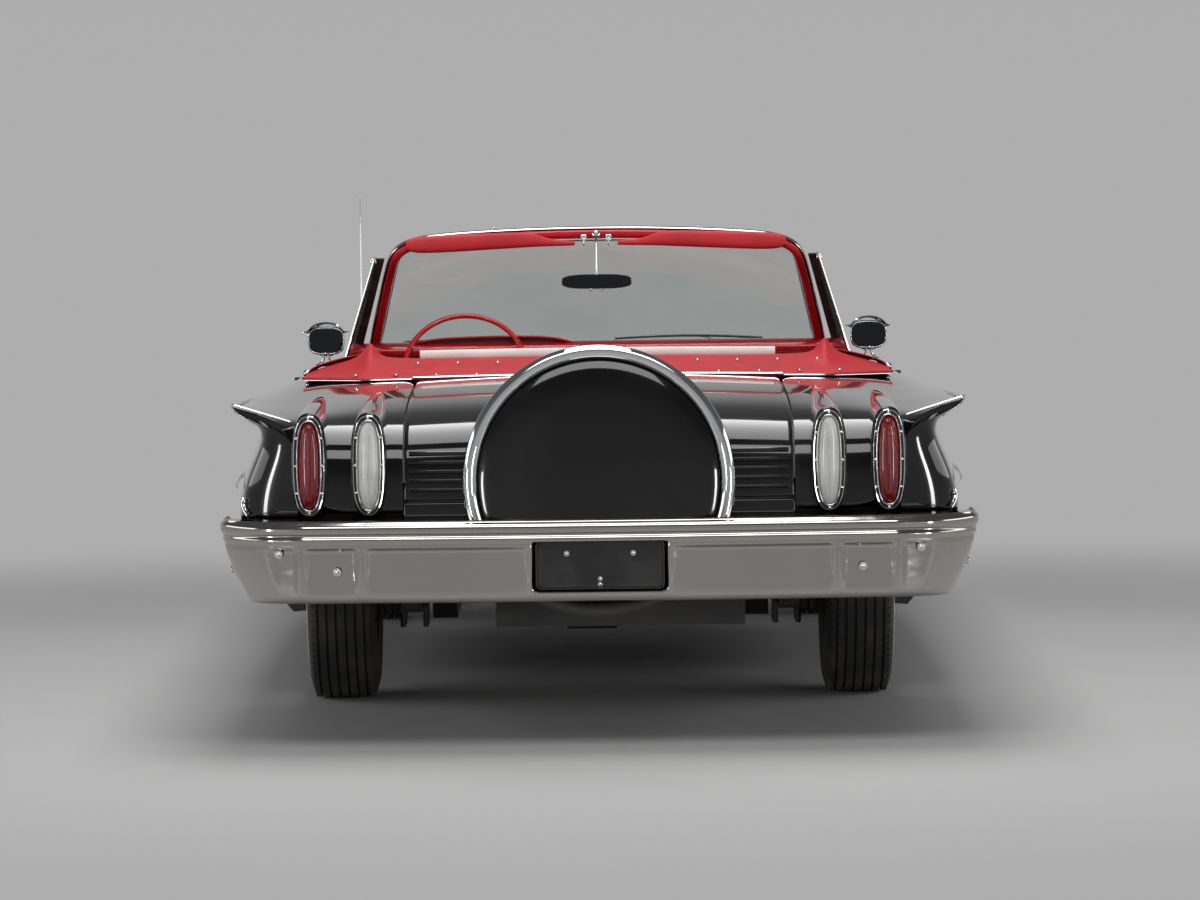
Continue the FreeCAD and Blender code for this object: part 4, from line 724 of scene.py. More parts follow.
def ribbed_band():
    """Flat-topped steps pressed across the tail, and the gutter and ledge round the lid's opening."""
    ribs = []
    for z in (795, 770, 745, 720, 695):
        path = [(x, -2499 - (795 - z) * 0.19, z) for x in across_fan(518, 6)]
        ribs.append(sweep(path, [(-2, -5), (3, -4), (3.6, 0), (3, 4), (-2, 6)]))
    fit("tail_ribs", shaped(joined(ribs), round_by=0.8), BLACK, "trunk_lid")
    gutter = [(537, y, z - 24) for y, z in [(LID_FRONT + 4, 951)] + LID_PROFILE[1:-1]]
    fit_pair("lid_gutter", sweep(gutter, [(-9, -3), (9, -3), (9, 3), (-9, 3)]), FRAME_BLACK)
    ledge = block((-536, -2498, 640), (536, -2488, 694), 2)
    fit("lid_bottom_ledge", ledge, FRAME_BLACK)


# ---------------------------------------------------------------- tail lamps
LAMP_X = (626, 788)
LAMP_Z = 767
POD_FACE = TAIL - 22


POD = [  # place along the car, half width, top and bottom
    (POD_FACE + 6, 42, 904, 630),
    (POD_FACE + 1, 47, 909, 625),
    (POD_FACE + 10, 50, 912, 622),
    (TAIL + 60, 52, 914, 620),
    (-2340, 55, 921, 630),
    (-2150, 50, 930, 660),
    (-1950, 44, 934, 720),
    (-1750, 36, 935, 780),
    (-1560, 26, 934, 830),
    (-1400, 14, 932, 870),
]


def lamp_pods():
    pods = []
    for x, drop in zip(LAMP_X, (0, 6)):
        rows = []
        for y, wide, top, bottom in POD:
            fade = min(1, max(0, (y - TAIL) / 500)) * drop
            top -= fade * 2.2
            centre = (x + 0.012 * (y - TAIL) * (x > 700), (top + bottom) / 2)
            rows.append(oval(y, wide, (top - bottom) / 2, centre))
        pods.append(shaped(loft(rows, closed=True, cap=True, sharp_rows={1: 0.3}), smooth=2))
    for name, mesh in zip(("inner_lamp_pod", "outer_lamp_pod"), pods):
        fit_pair(name, mesh, BLACK)


def lamp_parts(x):
    """The bezel, the lens and the screws of one tail lamp."""
    def ring(inset, y):
        return oval(POD_FACE + y, 45 - inset, 139 - inset * 1.25, (x, LAMP_Z))

    outer = [(2, 8), (0, -3), (1, -11), (3, -13.5), (5, -12), (5.5, -4), (5.5, 2)]
    inner = [(9, 2), (9, -8), (10.5, -14), (13, -15), (15, -13), (16, -6), (16, 0)]
    bezel = joined([loft([ring(*step) for step in steps], closed=True) for steps in (outer, inner)])
    gasket = loft([ring(*step) for step in [(5, -3), (5.2, -9), (9.4, -9), (9.6, -3)]], closed=True)
    glass = [(15.5, -4), (17, -9), (22, -14), (30, -18), (38, -20)]
    lens = loft([ring(*step) for step in glass], closed=True)
    closed_at(lens, POD_FACE - 20)
    middle = ((13, 112), (20, 85), (21, 0), (20, -85), (13, -112))
    rib = sweep([(x, POD_FACE - out, LAMP_Z + rise) for out, rise in middle], circle(2.2, 8), up=BEHIND)
    screws = []
    head = [(0, 3.6), (2.4, 3.2), (4, 1.8), (4.6, 0), (4.6, -3)]
    spots = ((0, 129), (0, -129), (36, 0), (-36, 0), (33.5, 75), (-33.5, 75), (33.5, -75), (-33.5, -75))
    for dx, dz in spots:
        screws.append(turned(head, (x + dx, POD_FACE - 11, LAMP_Z + dz), BEHIND, 14))
    return bezel, gasket, lens, rib, joined(screws)


def tail_lamps():
    for x, name, look, node in (
        (LAMP_X[1], "brake", RED_LENS, "tail_lamp_lenses"),
        (LAMP_X[0], "backup", WHITE_LENS, "backup_lamp_lenses"),
    ):
        bezel, gasket, lens, rib, screws = lamp_parts(x)
        right = fit_pair(f"{name}_bezel", shaped(bezel, smooth=1), CHROME)
        lenses = fit_pair(f"{name}_lens", shaped(joined([lens, rib]), smooth=1), look)
        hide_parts(node)
        fit_pair(f"{name}_screws", screws, CHROME)
        fit_pair(f"{name}_gasket", shaped(gasket, smooth=1), RUBBER)
        if name == "brake":
            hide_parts("tail_lamp_bezels")


# ---------------------------------------------------------------- tail trim
def wing_trim():
    """The bright cap along each wing's trailing edge, and the thin edging ahead of it."""
    blade = []
    for x, z, high, proud in ((838, 886, 4, 3), (880, 899, 5, 6), (940, 917, 6, 8), (980, 929, 7, 9),
                              (993, 933, 6, 8), (1000, 935, 2, 2)):
        back = -2524 - proud
        blade.append([(x, -2496, z + high - 1), (x, back + 4, z + high), (x, back, z + high * 0.5),
                      (x, back, z - high * 0.5), (x, back + 5, z - high), (x, -2498, z - high)])
    fit_pair("wing_cap", shaped(loft(blade, closed=True, cap=True), smooth=2), CHROME)
    tip = [(996, -2526, 930), (986, -2527, 913), (962, -2527, 898), (934, -2525, 880)]
    mesh = shaped(sweep(eased(tip, 1), circle(2.6, 8), up=AHEAD), smooth=1)
    fit_pair("wing_tip_edge", mesh, CHROME)
    crease = [(x, y, z) for y, _, (x, z), *_ in SIDE if y <= -500]
    edge = eased(crease + [(998, -2468, 933), (996, -2520, 933)])
    path = [(p.x - 0.5, p.y, p.z - 5) for p in edge if p.y < -520]
    section = [(-5, -3), (5, -3), (6, 1), (3, 4), (-3, 4), (-6, 1)]
    mesh = shaped(sweep(path, section, up=(1, 0, 0.15)), smooth=1)
    fit_pair("wing_edge_trim", mesh, CHROME)
    foot = [(958, -2506, 632), (970, -2490, 648), (974, -2482, 664), (970, -2482, 680)]
    fit_pair("corner_trim", shaped(sweep(foot, circle(7, 10, 0.7), up=BEHIND), smooth=1), CHROME)


def gravel_pan():
    """The shelf between the tail and the bumper, and the panel below it."""
    rows = []
    for x in (0, 300, 389, 600, 800, 905, 955):
        drop = 0 if x < 850 else (x - 850) * 0.35
        front = -2516 + drop
        rows.append([(x, front, 634), (x, front - 8, 624), (x, -2640, 621), (x, -2760 + drop * 1.5, 620),
                     (x, -2786 + drop * 1.6, 612), (x, -2790 + drop * 1.6, 560)])
    shelf = shaped(facing(loft(rows), (0, -0.3, 1)), smooth=2, thick=5)
    fit_pair("gravel_shelf", shelf, BLACK)
    low = block((-534, -2522, 502), (534, -2492, 661), 4)
    fit("tail_panel_sheet", low, BLACK, replaces=["tail_panel"])


# ---------------------------------------------------------------- bumpers
REAR_PLAN = [(0, -2844), (160, -2842.4), (171, -2842), (180, -2841.7), (190, -2841.4), (202, -2841),
             (400, -2832), (600, -2820), (618, -2819), (628, -2818.2), (646, -2817.2), (656, -2816.6),
             (674, -2815.6), (764, -2810), (782, -2809), (792, -2808.4), (810, -2806), (820, -2804),
             (838, -2800.5), (880, -2791.5), (905, -2785), (975, -2748), (1018, -2690), (1030, -2620),
             (1030, -2540), (1026, -2466)]
# The face's pressed panels: from, to, lowest, highest, depth and how high the lower edge fades in.
# The first holds the number plate.
PANELS = [
    (0, 172, 444, 568, 32, 1), (195, 623, 418, 555, 14, 90), (651, 787, 418, 555, 14, 90),
    (815, 900, 418, 555, 10, 90),
]
REAR_SECTION = [  # in from the face, height, share of the ends' taper
    (112, 620, 0), (70, 621, 0), (34, 622, 0), (29, 630, 0), (22, 630, 0), (18, 623, 0), (6, 621, 0),
    (0, 613, 0), (0, 601, 0.04), (3, 596, 0.06), (8, 592, 0.08), (6, 587, 0.1), (2, 582, 0.12),
    (2, 576, 0.14), (6, 570, 0.16), (7, 565, 0.18), (6, 558, 0.2), (6.2, 551, 0.22), (6.5, 540, 0.28),
    (9, 500, 0.48), (14, 460, 0.74), (16.5, 448, 0.84), (18, 440, 0.89), (21, 427, 0.96), (25, 420, 0.99),
    (33, 412, 1), (46, 407, 1), (70, 406, 1),
]


def plan_frame(plan):
    """Each plan point with the direction that looks into the car from it."""
    ways = []
    for i, (x, y) in enumerate(plan):
        before, after = plan[max(i - 1, 0)], plan[min(i + 1, len(plan) - 1)]
        along = Vector((after[0] - before[0], after[1] - before[1], 0)).normalized()
        way = Vector((-along.y, along.x, 0))
        ways.append(-way if way.x * x + way.y * y > 0 else way)
    return ways


def bumper_rows(plan, section, taper, panels=()):
    """The bar's sections along its plan; the face is let in where there are panels."""
    rows = []
    for (x, y), inward in zip(plan, plan_frame(plan)):
        here = [panel[2:] for panel in panels if panel[0] <= x <= panel[1]]
        low, high, depth, fade = here[0] if here else (0, 0, 0, 1)
        if x == 0:
            inward = Vector((0, inward.y, 0)).normalized()
        lean = taper * min(1, max(0, (x - 830) / 150))
        row = []
        for back, z, share in section:
            deep = back if x < 900 else back * (1 - 0.55 * min(1, (x - 900) / 130))
            deep += depth * (low < z < high) * min(1, (z - low) / fade)
            point = Vector((x - lean * share, y, z)) + inward * deep
            row.append((max(point.x, 0) if x == 0 else point.x, point.y, point.z))
        rows.append(row)
    return rows


def whole_width(rows):
    """Rows for the right half, continued to the left."""
    left = [[(-x, y, z) for x, y, z in row] for row in reversed(rows[1:])]
    return left + rows


def rear_bumper():
    rows = whole_width(bumper_rows(REAR_PLAN, REAR_SECTION, 58, PANELS))
    shell = facing(loft(rows, sharp={3: 0.5, 4: 0.5, 9: 0.4, 11: 0.4, 13: 0.4, 14: 0.4}), BEHIND)
    mesh = shaped(shell, smooth=2, thick=5)
    fit("rear_bumper_bar", mesh, SHADED_BUMPER_CHROME, replaces=["rear_bumper"])
    tray = [[(x, y, z) for x, z in ring] for y, ring in (
        (-2834, plate_ring(169, 62)), (-2818, plate_ring(166, 59)), (-2815, plate_ring(156, 49)))]
    bm = closed_at(loft(tray, closed=True), -2815)
    fit("plate_recess", shaped(facing(bm, BEHIND), thick=3), RECESS_BLACK)
    bolts = []
    for x, y, z in ((860, -2788, 543), (703, -2801, 495)):
        for side in (-1, 1):
            bolts.append(turned(dome(9), (side * x, y, z), (side * 0.2, -1, -0.15), 20))
    for x in (-89, 89):
        bolts.append(turned(dome(6), (x, -2817, 538), BEHIND, 16))
    for x, z in ((0, 470), (0, 455)):
        bolts.append(turned(dome(5), (x, -2817, z), BEHIND, 16))
    for side in (-1, 1):
        bolts.append(turned(dome(8), (side * 1000, -2560, 490), (side, 0, -0.15), 16))
    fit("bumper_bolts", joined(bolts), CHROME)


def plate_ring(wide, high, corner=10):
    ring = []
    for sx, sz, start in ((1, 1, 0), (-1, 1, 90), (-1, -1, 180), (1, -1, 270)):
        for turn in (0, 45, 90):
            t = math.radians(start + turn)
            ring.append((sx * (wide - corner) + corner * math.cos(t),
                         508 + sz * (high - corner) + corner * math.sin(t)))
    return ring


def dome(radius):
    """The profile of a domed bolt head on a washer."""
    return [(0, radius * 0.62), (radius * 0.45, radius * 0.55), (radius * 0.8, radius * 0.28),
            (radius * 0.86, 0.12 * radius), (radius * 1.25, 0.1 * radius), (radius * 1.3, -radius * 0.5)]


FRONT_PLAN = [(0, 2844), (200, 2838), (420, 2820), (660, 2796), (850, 2752), (950, 2700), (1005, 2630),
              (1020, 2530), (1021, 2426)]
FRONT_SECTION = [
    (90, 548, 0), (30, 551, 0), (10, 549, 0), (0, 538, 0), (0, 524, 0), (6, 515, 0.2), (18, 509, 0.3),
    (18, 498, 0.4), (6, 491, 0.5), (1, 480, 0.6), (3, 440, 0.8), (10, 410, 1), (24, 392, 1), (60, 387, 1),
]


def front_bumper():
    rows = whole_width(bumper_rows(FRONT_PLAN, FRONT_SECTION, 16))
    fit("front_bumper_bar", shaped(facing(loft(rows), AHEAD), smooth=2, thick=5), SHADED_BUMPER_CHROME,
        replaces=["front_bumper"])


# ---------------------------------------------------------------- spare wheel
SPARE_AXIS = Vector((0, -math.cos(math.radians(5)), math.sin(math.radians(5))))
SPARE_CENTRE = Vector((0, -2735, 728))


def spare():
    face = [(0, 9), (120, 8), (230, 5), (290, 1), (315, -5), (324, -9), (327, -14), (327, -30)]
    fit("spare_face_panel", turned(face, SPARE_CENTRE, SPARE_AXIS, 96), BLACK, replaces=["spare_face"])
    band = [(327, -16), (328, -6), (333, 3), (341, 9), (349, 11), (357, 9), (363, 3), (366.5, -7), (367, -24),
            (365, -80), (366, -130), (364, -146), (356, -150), (340, -150), (340, -134), (352, -128),
            (354, -26), (345, -20)]
    for name, upper, look, nodes in (
        ("spare_ring", True, CHROME, ["spare_band"]), ("spare_ring_foot", False, FRAME_BLACK, [])
    ):
        bm = cut_off(turned(band, SPARE_CENTRE, SPARE_AXIS, 128, closed=True), (0, 0, 600), UP, upper)
        fit(name, bm, look, replaces=nodes)
    back = [(352, -148), (338, -151), (46, -151), (46, -148)]
    fit("spare_back_plate", turned(back, SPARE_CENTRE, SPARE_AXIS, 64), FRAME_BLACK)


# ---------------------------------------------------------------- windshield
FOOT = (985, 736, 1020, 1245)  # height, half width, and how far forward at the side and the middle
HEAD = (1345, 638, 540, 650)
HEADER_TOP = 1389


def shield_y(share, x):
    """How far forward the windshield is, from its foot (0) to its head (1)."""
    half, side_y, middle_y = (FOOT[i] + (HEAD[i] - FOOT[i]) * share for i in (1, 2, 3))
    rise = middle_y - side_y
    radius = (half * half + rise * rise) / (2 * rise)
    return middle_y - radius + math.sqrt(radius * radius - x * x)


def header_top(x):
    """Height of the header's crown, which rounds off into the posts."""
    return HEADER_TOP - 24 * min(1, abs(x) / 600) ** 2.2


def frame_path():
    """The windshield frame's middle line from one post's foot to the other, and its outward side."""
    half = [((x, shield_y(1, x) - 14, header_top(x) - 22), UP) for x in (0, 140, 280, 420, 520)]
    half += [
        ((590, 543, 1340), (0.22, 0, 0.97)), ((636, 550, 1323), (0.55, 0, 0.83)),
        ((663, 570, 1297), (0.85, 0, 0.5)), ((674, 612, 1266), (0.97, 0, 0.26)),
        ((684, 653, 1238), (1, 0, 0.27)), ((721, 841, 1100), (1, 0, 0.27)),
        ((747, 972, 1003), (1, 0, 0.25)), ((756, 994, 935), (1, 0, 0.15)),
    ]
    left = [((-p[0], p[1], p[2]), (-o[0], o[1], o[2])) for p, o in reversed(half[1:])]
    return zip(*(left + half))


def windshield():
    rows = []
    for i in range(7):
        t = i / 6
        half = FOOT[1] + (HEAD[1] - FOOT[1]) * t - 2
        z = FOOT[0] + (HEAD[0] - FOOT[0]) * t
        rows.append([(x, shield_y(t, x) - 2, z) for x in across_fan(half, 10)])
    pane = shaped(facing(loft(rows), (0, 1, 0.3)), smooth=1, thick=5)
    fit("windshield_pane", pane, GLASS, replaces=["windshield_glass"])
    path, outward = (list(part) for part in frame_path())
    trim = [(-15, -16), (2, -18), (17, -16), (23, -10), (23, 8), (18, 13), (-16, 13), (-18, -10)]
    fit("windshield_inner_trim", shaped(sweep(path, trim, outward), smooth=2), RED_ENAMEL,
        replaces=["windshield_frame"])
    cap = [(24, 13), (21, 20), (10, 23.5), (-10, 23.5), (-21, 20), (-27, 10), (-25, -18), (-19, -21),
           (-18, 12), (4, 15)]
    fit("windshield_outer_cap", shaped(sweep(path, cap, outward), smooth=2), CHROME)
    foot = [(x, shield_y(0, x) + 5, 981) for x in across_fan(732, 12)]
    rail = [(-9, -44), (11, -44), (14, -8), (8, 4), (-4, 8), (-12, 0)]
    fit("windshield_foot_rail", shaped(sweep(eased(foot, 1), rail), smooth=1), CHROME)


def visors():
    """Padded visors whose thin inner arms meet at the middle, with the roof latches between."""
    stations = [
        (70, 1335, 8, 7), (98, 1335, 10, 9), (140, 1336, 11, 9), (172, 1340, 16, 11), (204, 1347, 24, 13),
        (240, 1348, 27, 14), (400, 1342, 29, 14), (550, 1336, 30, 14), (602, 1335, 26, 12),
        (622, 1335, 15, 8),
    ]
    rows = []
    for x, z, high, thick in stations:
        y = shield_y(1, x) - 37 - thick
        rows.append([(x, y + thick * c, z + high * s) for c, s in squared_circle(12, 0.75)])
    pair = fit_pair("sun_visor", shaped(loft(rows, closed=True, cap=True), smooth=2), VINYL)
    parts = []
    for side in (-1, 1):
        x, y = side * 41, 604
        parts.append(block((x - 9, y - 12, 1338), (x + 9, y + 4, 1362), 2))
        parts.append(block((x - 3, y - 16, 1326), (x + 3, y - 8, 1352), 2))
        parts.append(turned([(0, 7), (5, 6), (7, 3), (7, 0), (5, -6)], (side * 336, 594, 1386), UP, 16))
    fit("roof_latches", joined(parts), CHROME)


def inside_mirror():
    steps = [(545, 106, 17), (543, 113, 22), (548, 117, 24.5), (556, 117, 24.5), (566, 96, 16), (569, 40, 8)]
    shell = loft([oval(y, w, h, (0, 1208), 40, 3.2) for y, w, h in steps], closed=True, cap=True)
    fit("inside_mirror_shell", shaped(shell, smooth=2), CHROME)
    rings = [oval(y, w, h, (0, 1208), 40, 3.2) for y, w, h in ((545, 114, 23), (541.8, 112.5, 22))]
    glass = loft(rings, closed=True, cap=True)
    fit("inside_mirror_glass", glass, PAINTED_DARK_MIRROR)
    stalk = sweep([(0, 604, 1358), (0, 592, 1330), (0, 580, 1280), (0, 568, 1222)], circle(4, 12), up=RIGHT)
    foot = turned([(0, 4), (12, 3), (14, 0), (14, -3)], (0, 598, 1362), BEHIND, 24)
    knobs = [turned([(0, 5), (3.5, 4), (4.5, 1), (4, -6)], (x, 552, 1182), (0, 0, -1), 14) for x in (-19, 19)]
    fit("inside_mirror_stalk", shaped(joined([stalk, foot, *knobs]), smooth=1), CHROME)


def wipers():
    bright, dark = [], []
    for start, end, pivot in ((-655, -150, -330), (60, 560, 400)):
        line = [(x, shield_y(0.05, x) + 9, 1004 + 8 * math.sin((x - start) / (end - start) * math.pi))
                for x in (start + (end - start) * i / 8 for i in range(9))]
        dark.append(sweep(line, [(-3, -5), (3, -5), (2, 4), (-2, 4)], up=(0, 1, 0.7)))
        bright.append(sweep([(x, y + 4, z + 2) for x, y, z in line], half_round(3.5, 3.5), up=(0, 1, 0.7)))
        y = shield_y(0, pivot) + 42
        tip = line[4]
        arm = [(pivot, y, 984), (pivot, y - 4, 1000), ((pivot + tip[0]) / 2, (y + tip[1]) / 2 + 6, 1008),
               (tip[0], tip[1] + 8, tip[2] + 6)]
        bright.append(sweep(arm, [(-5, -2), (5, -2), (4, 3), (-4, 3)]))
        bright.append(turned([(0, 16), (8, 15), (11, 10), (12, -8)], (pivot, y, 984), UP, 20))
    fit("wiper_arms", shaped(joined(bright), smooth=1), SILVER)
    fit("wiper_blades", shaped(joined(dark), smooth=1), RUBBER)


# ---------------------------------------------------------------- folded roof's cover
BOOT_BASE = 953
BOOT_RISE = [(0, 56), (180, 55), (360, 54), (540, 52), (620, 56), (652, 60), (670, 84), (688, 112), (706, 84),
             (726, 62), (752, 49), (806, 35), (855, 20), (884, 9)]


def boot_edges(x):
    """How far forward and back the cover's edges are at one place across."""
    if x <= 700:
        return -784, -1186
    if x <= 775:
        return -784 + (x - 700) * 0.4, -1186 + (x - 700) * 0.8
    return -754 + (x - 775) * 0.27, -1126 + (x - 775) * 0.91


def boot():
    half = []
    for x, rise in BOOT_RISE:
        front, rear = boot_edges(x)
        deep = front - rear
        peak = max(0, rise - 56) if 640 < x < 730 else 0
        low = rise - peak
        sag = 4.5 * math.sin(math.pi * x / 165) ** 2
        half.append([
            (x, front + 3, BOOT_BASE + 0.1 * low - (40 if x < 640 else 0)),
            (x, front - 2, BOOT_BASE + 0.7 * low + peak * 0.5),
            (x, front - 26, BOOT_BASE + 0.95 * low + peak * 0.95),
            (x, front - 62, BOOT_BASE + low + peak * 0.9),
            (x, front - deep * 0.34, BOOT_BASE + 0.84 * low + peak * 0.45 - sag * 0.4),
            (x, front - deep * 0.58, BOOT_BASE + 0.58 * low + peak * 0.15 - sag),
            (x, front - deep * 0.82, BOOT_BASE + 0.27 * low + 2 - sag * 0.6),
            (x, rear + 6, BOOT_BASE + 7),
            (x, rear, BOOT_BASE - 1),
        ])
    cover = shaped(facing(loft(whole_width(half)), (0, -0.2, 1)), smooth=3, thick=3)
    fit("roof_boot", cover, VINYL, replaces=["top_boot"])
    stations = [  # y, inner edge, crest and its height
        (-800, 652, 686, 74), (-770, 660, 694, 70), (-735, 690, 722, 56), (-690, 728, 766, 45),
        (-640, 765, 805, 38),
        (-520, 800, 840, 31), (-360, 822, 856, 26), (-225, 836, 866, 22), (-212, 839, 866, 18),
    ]
    rows = []
    for y, inner, crest, rise in stations:
        rows.append([
            (inner - 3, y, BOOT_BASE - 18), (inner, y, BOOT_BASE + rise * 0.5),
            ((inner + crest) / 2, y, BOOT_BASE + rise * 0.92), (crest, y, BOOT_BASE + rise),
            ((crest + 884) / 2, y, BOOT_BASE + rise * 0.74), (882, y, BOOT_BASE + rise * 0.36),
            (886, y, BOOT_BASE - 3),
        ])
    arm = shaped(facing(loft(rows), UP), smooth=2, thick=3)
    for pad in fit_pair("roof_boot_arm", arm, VINYL):
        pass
    boot_trim()


def boot_trim():
    """Piping and snaps on the cover, and the bright mouldings that it is fastened to."""
    edge = [(x, boot_edges(x)[1] - 3, BOOT_BASE + 2) for x, _ in BOOT_RISE]
    edge = [(-x, y, z) for x, y, z in reversed(edge[1:])] + edge
    fit("boot_piping", sweep(eased(edge, 2), circle(4, 8)), PIPING)
    # Painted highlight: a white roll shaped as the folded roof's edge, its white standing in for the
    # softbox's highlight on the boot's crest.
    roll = [(x, -772, 1013 - 4 * (x / 560) ** 2) for x in across_fan(540, 8)]
    fit("folded_roof_edge", shaped(sweep(roll, circle(13, 10, 1.4)), smooth=2), ROOF_EDGE_HIGHLIGHT)
    snaps = []
    for x in range(-720, 721, 120):
        front, rear = boot_edges(abs(x))
        snaps.append(turned(dome(5.5), (x, rear + 20, BOOT_BASE + 13), (0, -0.25, 1), 12))
        if abs(x) < 640:
            snaps.append(turned(dome(5.5), (x + 60, front - 205, BOOT_BASE + 42), (0, -0.25, 1), 12))
    for side in (-1, 1):
        for y in (-260, -400, -540):
            snaps.append(turned(dome(5.5), (side * 882, y, BOOT_BASE + 11), (side, 0, 0.5), 12))
        knob = [(0, 20), (7, 18), (12, 10), (13, 0), (10, -8)]
        snaps.append(turned(knob, (side * 880, -742, BOOT_BASE + 6), (side, -0.4, 0.1), 20))
    fit("boot_snaps", joined(snaps), CHROME)
    for name, body, y, reach in (
        ("deck_moulding", "body", -1192, 548), ("lid_edge_moulding", "trunk_lid", -1209, 524)
    ):
        path = [(x, y, 956 + 5 * (1 - (x / 540) ** 2)) for x in across_fan(reach, 8)]
        fit(name, shaped(sweep(path, half_round(5, 6)), smooth=1), CHROME, body)
    outer = [(x, boot_edges(x)[1] - 8, BOOT_BASE - 1 - (x - 540) * 0.012)
             for x in (552, 640, 700, 740, 775, 830, 876)]
    fit_pair("quarter_moulding", shaped(sweep(eased(outer, 2), half_round(3.5, 4)), smooth=1), CHROME)


# ---------------------------------------------------------------- glass and mirrors on the doors
def vent_windows():
    rear_y, low, top = 438, 950, 1293
    front = [(956, 948), (932, 1000), (736, 1147), (541, 1291)]

    def at(y, z):
        return (828 - 0.31 * (z - 945), y, z)

    rest = ((rear_y, top), (rear_y, 1140), (rear_y, low), (700, low))
    outline = [at(*point) for point in (*front, *rest)]
    bm = bmesh.new()
    bmesh.ops.contextual_create(bm, geom=[bm.verts.new(Vector(p) * MM) for p in outline])
    pane = shaped(facing(bm, RIGHT), thick=4.5)
    fit_pair("vent_glass", pane, GLASS, DOORS, ["vent_window"])
    lean = (1, 0, 0.3)
    bars = [sweep([at(*point) for point in front], half_round(7, 8), up=lean),
            sweep([at(rear_y, 940), at(rear_y, 1140), at(rear_y, 1293)], half_round(7, 8), up=lean),
            sweep([at(541, 1293), at(432, 1292)], half_round(7, 8), up=lean),
            sweep([at(rear_y - 20, 944), at(rear_y - 20, 1140), at(rear_y - 20, 1286)], half_round(5, 7),
                  up=lean)]
    hinge = at(462, 1284)
    bars.append(block((hinge[0] - 4, hinge[1] - 20, hinge[2] - 10),
                      (hinge[0] + 16, hinge[1] + 20, hinge[2] + 8), 3))
    fit_pair("vent_frame", shaped(joined(bars), smooth=1), CHROME, DOORS)
    seal = sweep([at(rear_y - 9, 942), at(rear_y - 9, 1140), at(rear_y - 9, 1286)], half_round(5, 4),
                 up=(1, 0, 0.3))
    strip = []
    for y, z in front:
        x = at(y, z)[0]
        corners = ((3, 8, 3), (-27, 8, 3), (-27, -6, -2), (3, -6, -2))
        strip.append([(x + out, y + along, z + up) for out, along, up in corners])
    seals = joined([seal, loft(strip, closed=True, cap=True)])
    fit_pair("vent_seal", shaped(seals, smooth=1), RUBBER, DOORS)


def door_mirrors():
    centre = (912, 1013)
    steps = [(949, 54, 39), (944, 60, 44), (950, 63, 48), (966, 63, 49), (998, 53, 42), (1020, 32, 27),
             (1028, 12, 12)]
    shell = loft([oval(y, w, h, centre, 28, 3.2) for y, w, h in steps], closed=True, cap=True)
    visor = []
    crown = ((79, 32), (68, 32), (60, 37), (50, 50), (32, 60), (0, 65))
    for wide, rise in [(-w, r) for w, r in crown] + [(w, r) for w, r in reversed(crown[:-1])]:
        x, z = centre[0] + wide, centre[1] + rise
        visor.append([(x, 934, z - 1), (x, 950, z + 2), (x * 0.75 + centre[0] * 0.25, 992, z - 6)])
    visor_mesh = shaped(facing(loft(visor), UP), smooth=2, thick=3)
    fit_pair("mirror_shell", shaped(shell, smooth=2), CHROME, DOORS, ["door_mirror"])
    fit_pair("mirror_visor", visor_mesh, CHROME, DOORS)
    rings = [oval(y, w, h, centre, 28, 3.2) for y, w, h in ((946, 57, 41), (942, 55.5, 39.5))]
    fit_pair("mirror_glass", loft(rings, closed=True, cap=True), PAINTED_DARK_MIRROR, DOORS)
    legs = []
    for side in (-1, 1):
        line = [(912 + side * 12, 970, 974), (912 + side * 8, 972, 958), (914 + side * 10, 974, 946),
                (916 + side * 20, 974, 934)]
        legs.append(sweep(line, circle(5, 10), up=AHEAD))
    foot = block((880, 952, 926), (950, 996, 936), 5)
    collar = turned([(0, 6), (22, 5), (30, -2), (28, -10)], (912, 972, 966), (0, 0, -1), 28)
    fit_pair("mirror_stand", shaped(joined([*legs, foot, collar]), smooth=1), CHROME, DOORS)


def antenna():
    base = [(0, 34), (3, 34), (5, 30), (6, 18), (10, 12), (14, 4), (14, -4)]
    rod = [(0, 0), (2.6, 0), (2.4, 260), (1.9, 262), (1.7, 440), (1.2, 442), (1.1, 556), (2.4, 559),
           (2.6, 562), (1.6, 565), (0, 566)]
    parts = [turned(base, (-814, 1480, 908), UP, 24), turned(rod, (-814, 1480, 934), UP, 14)]
    fit("antenna_mast", joined(parts), CHROME, replaces=["antenna"])


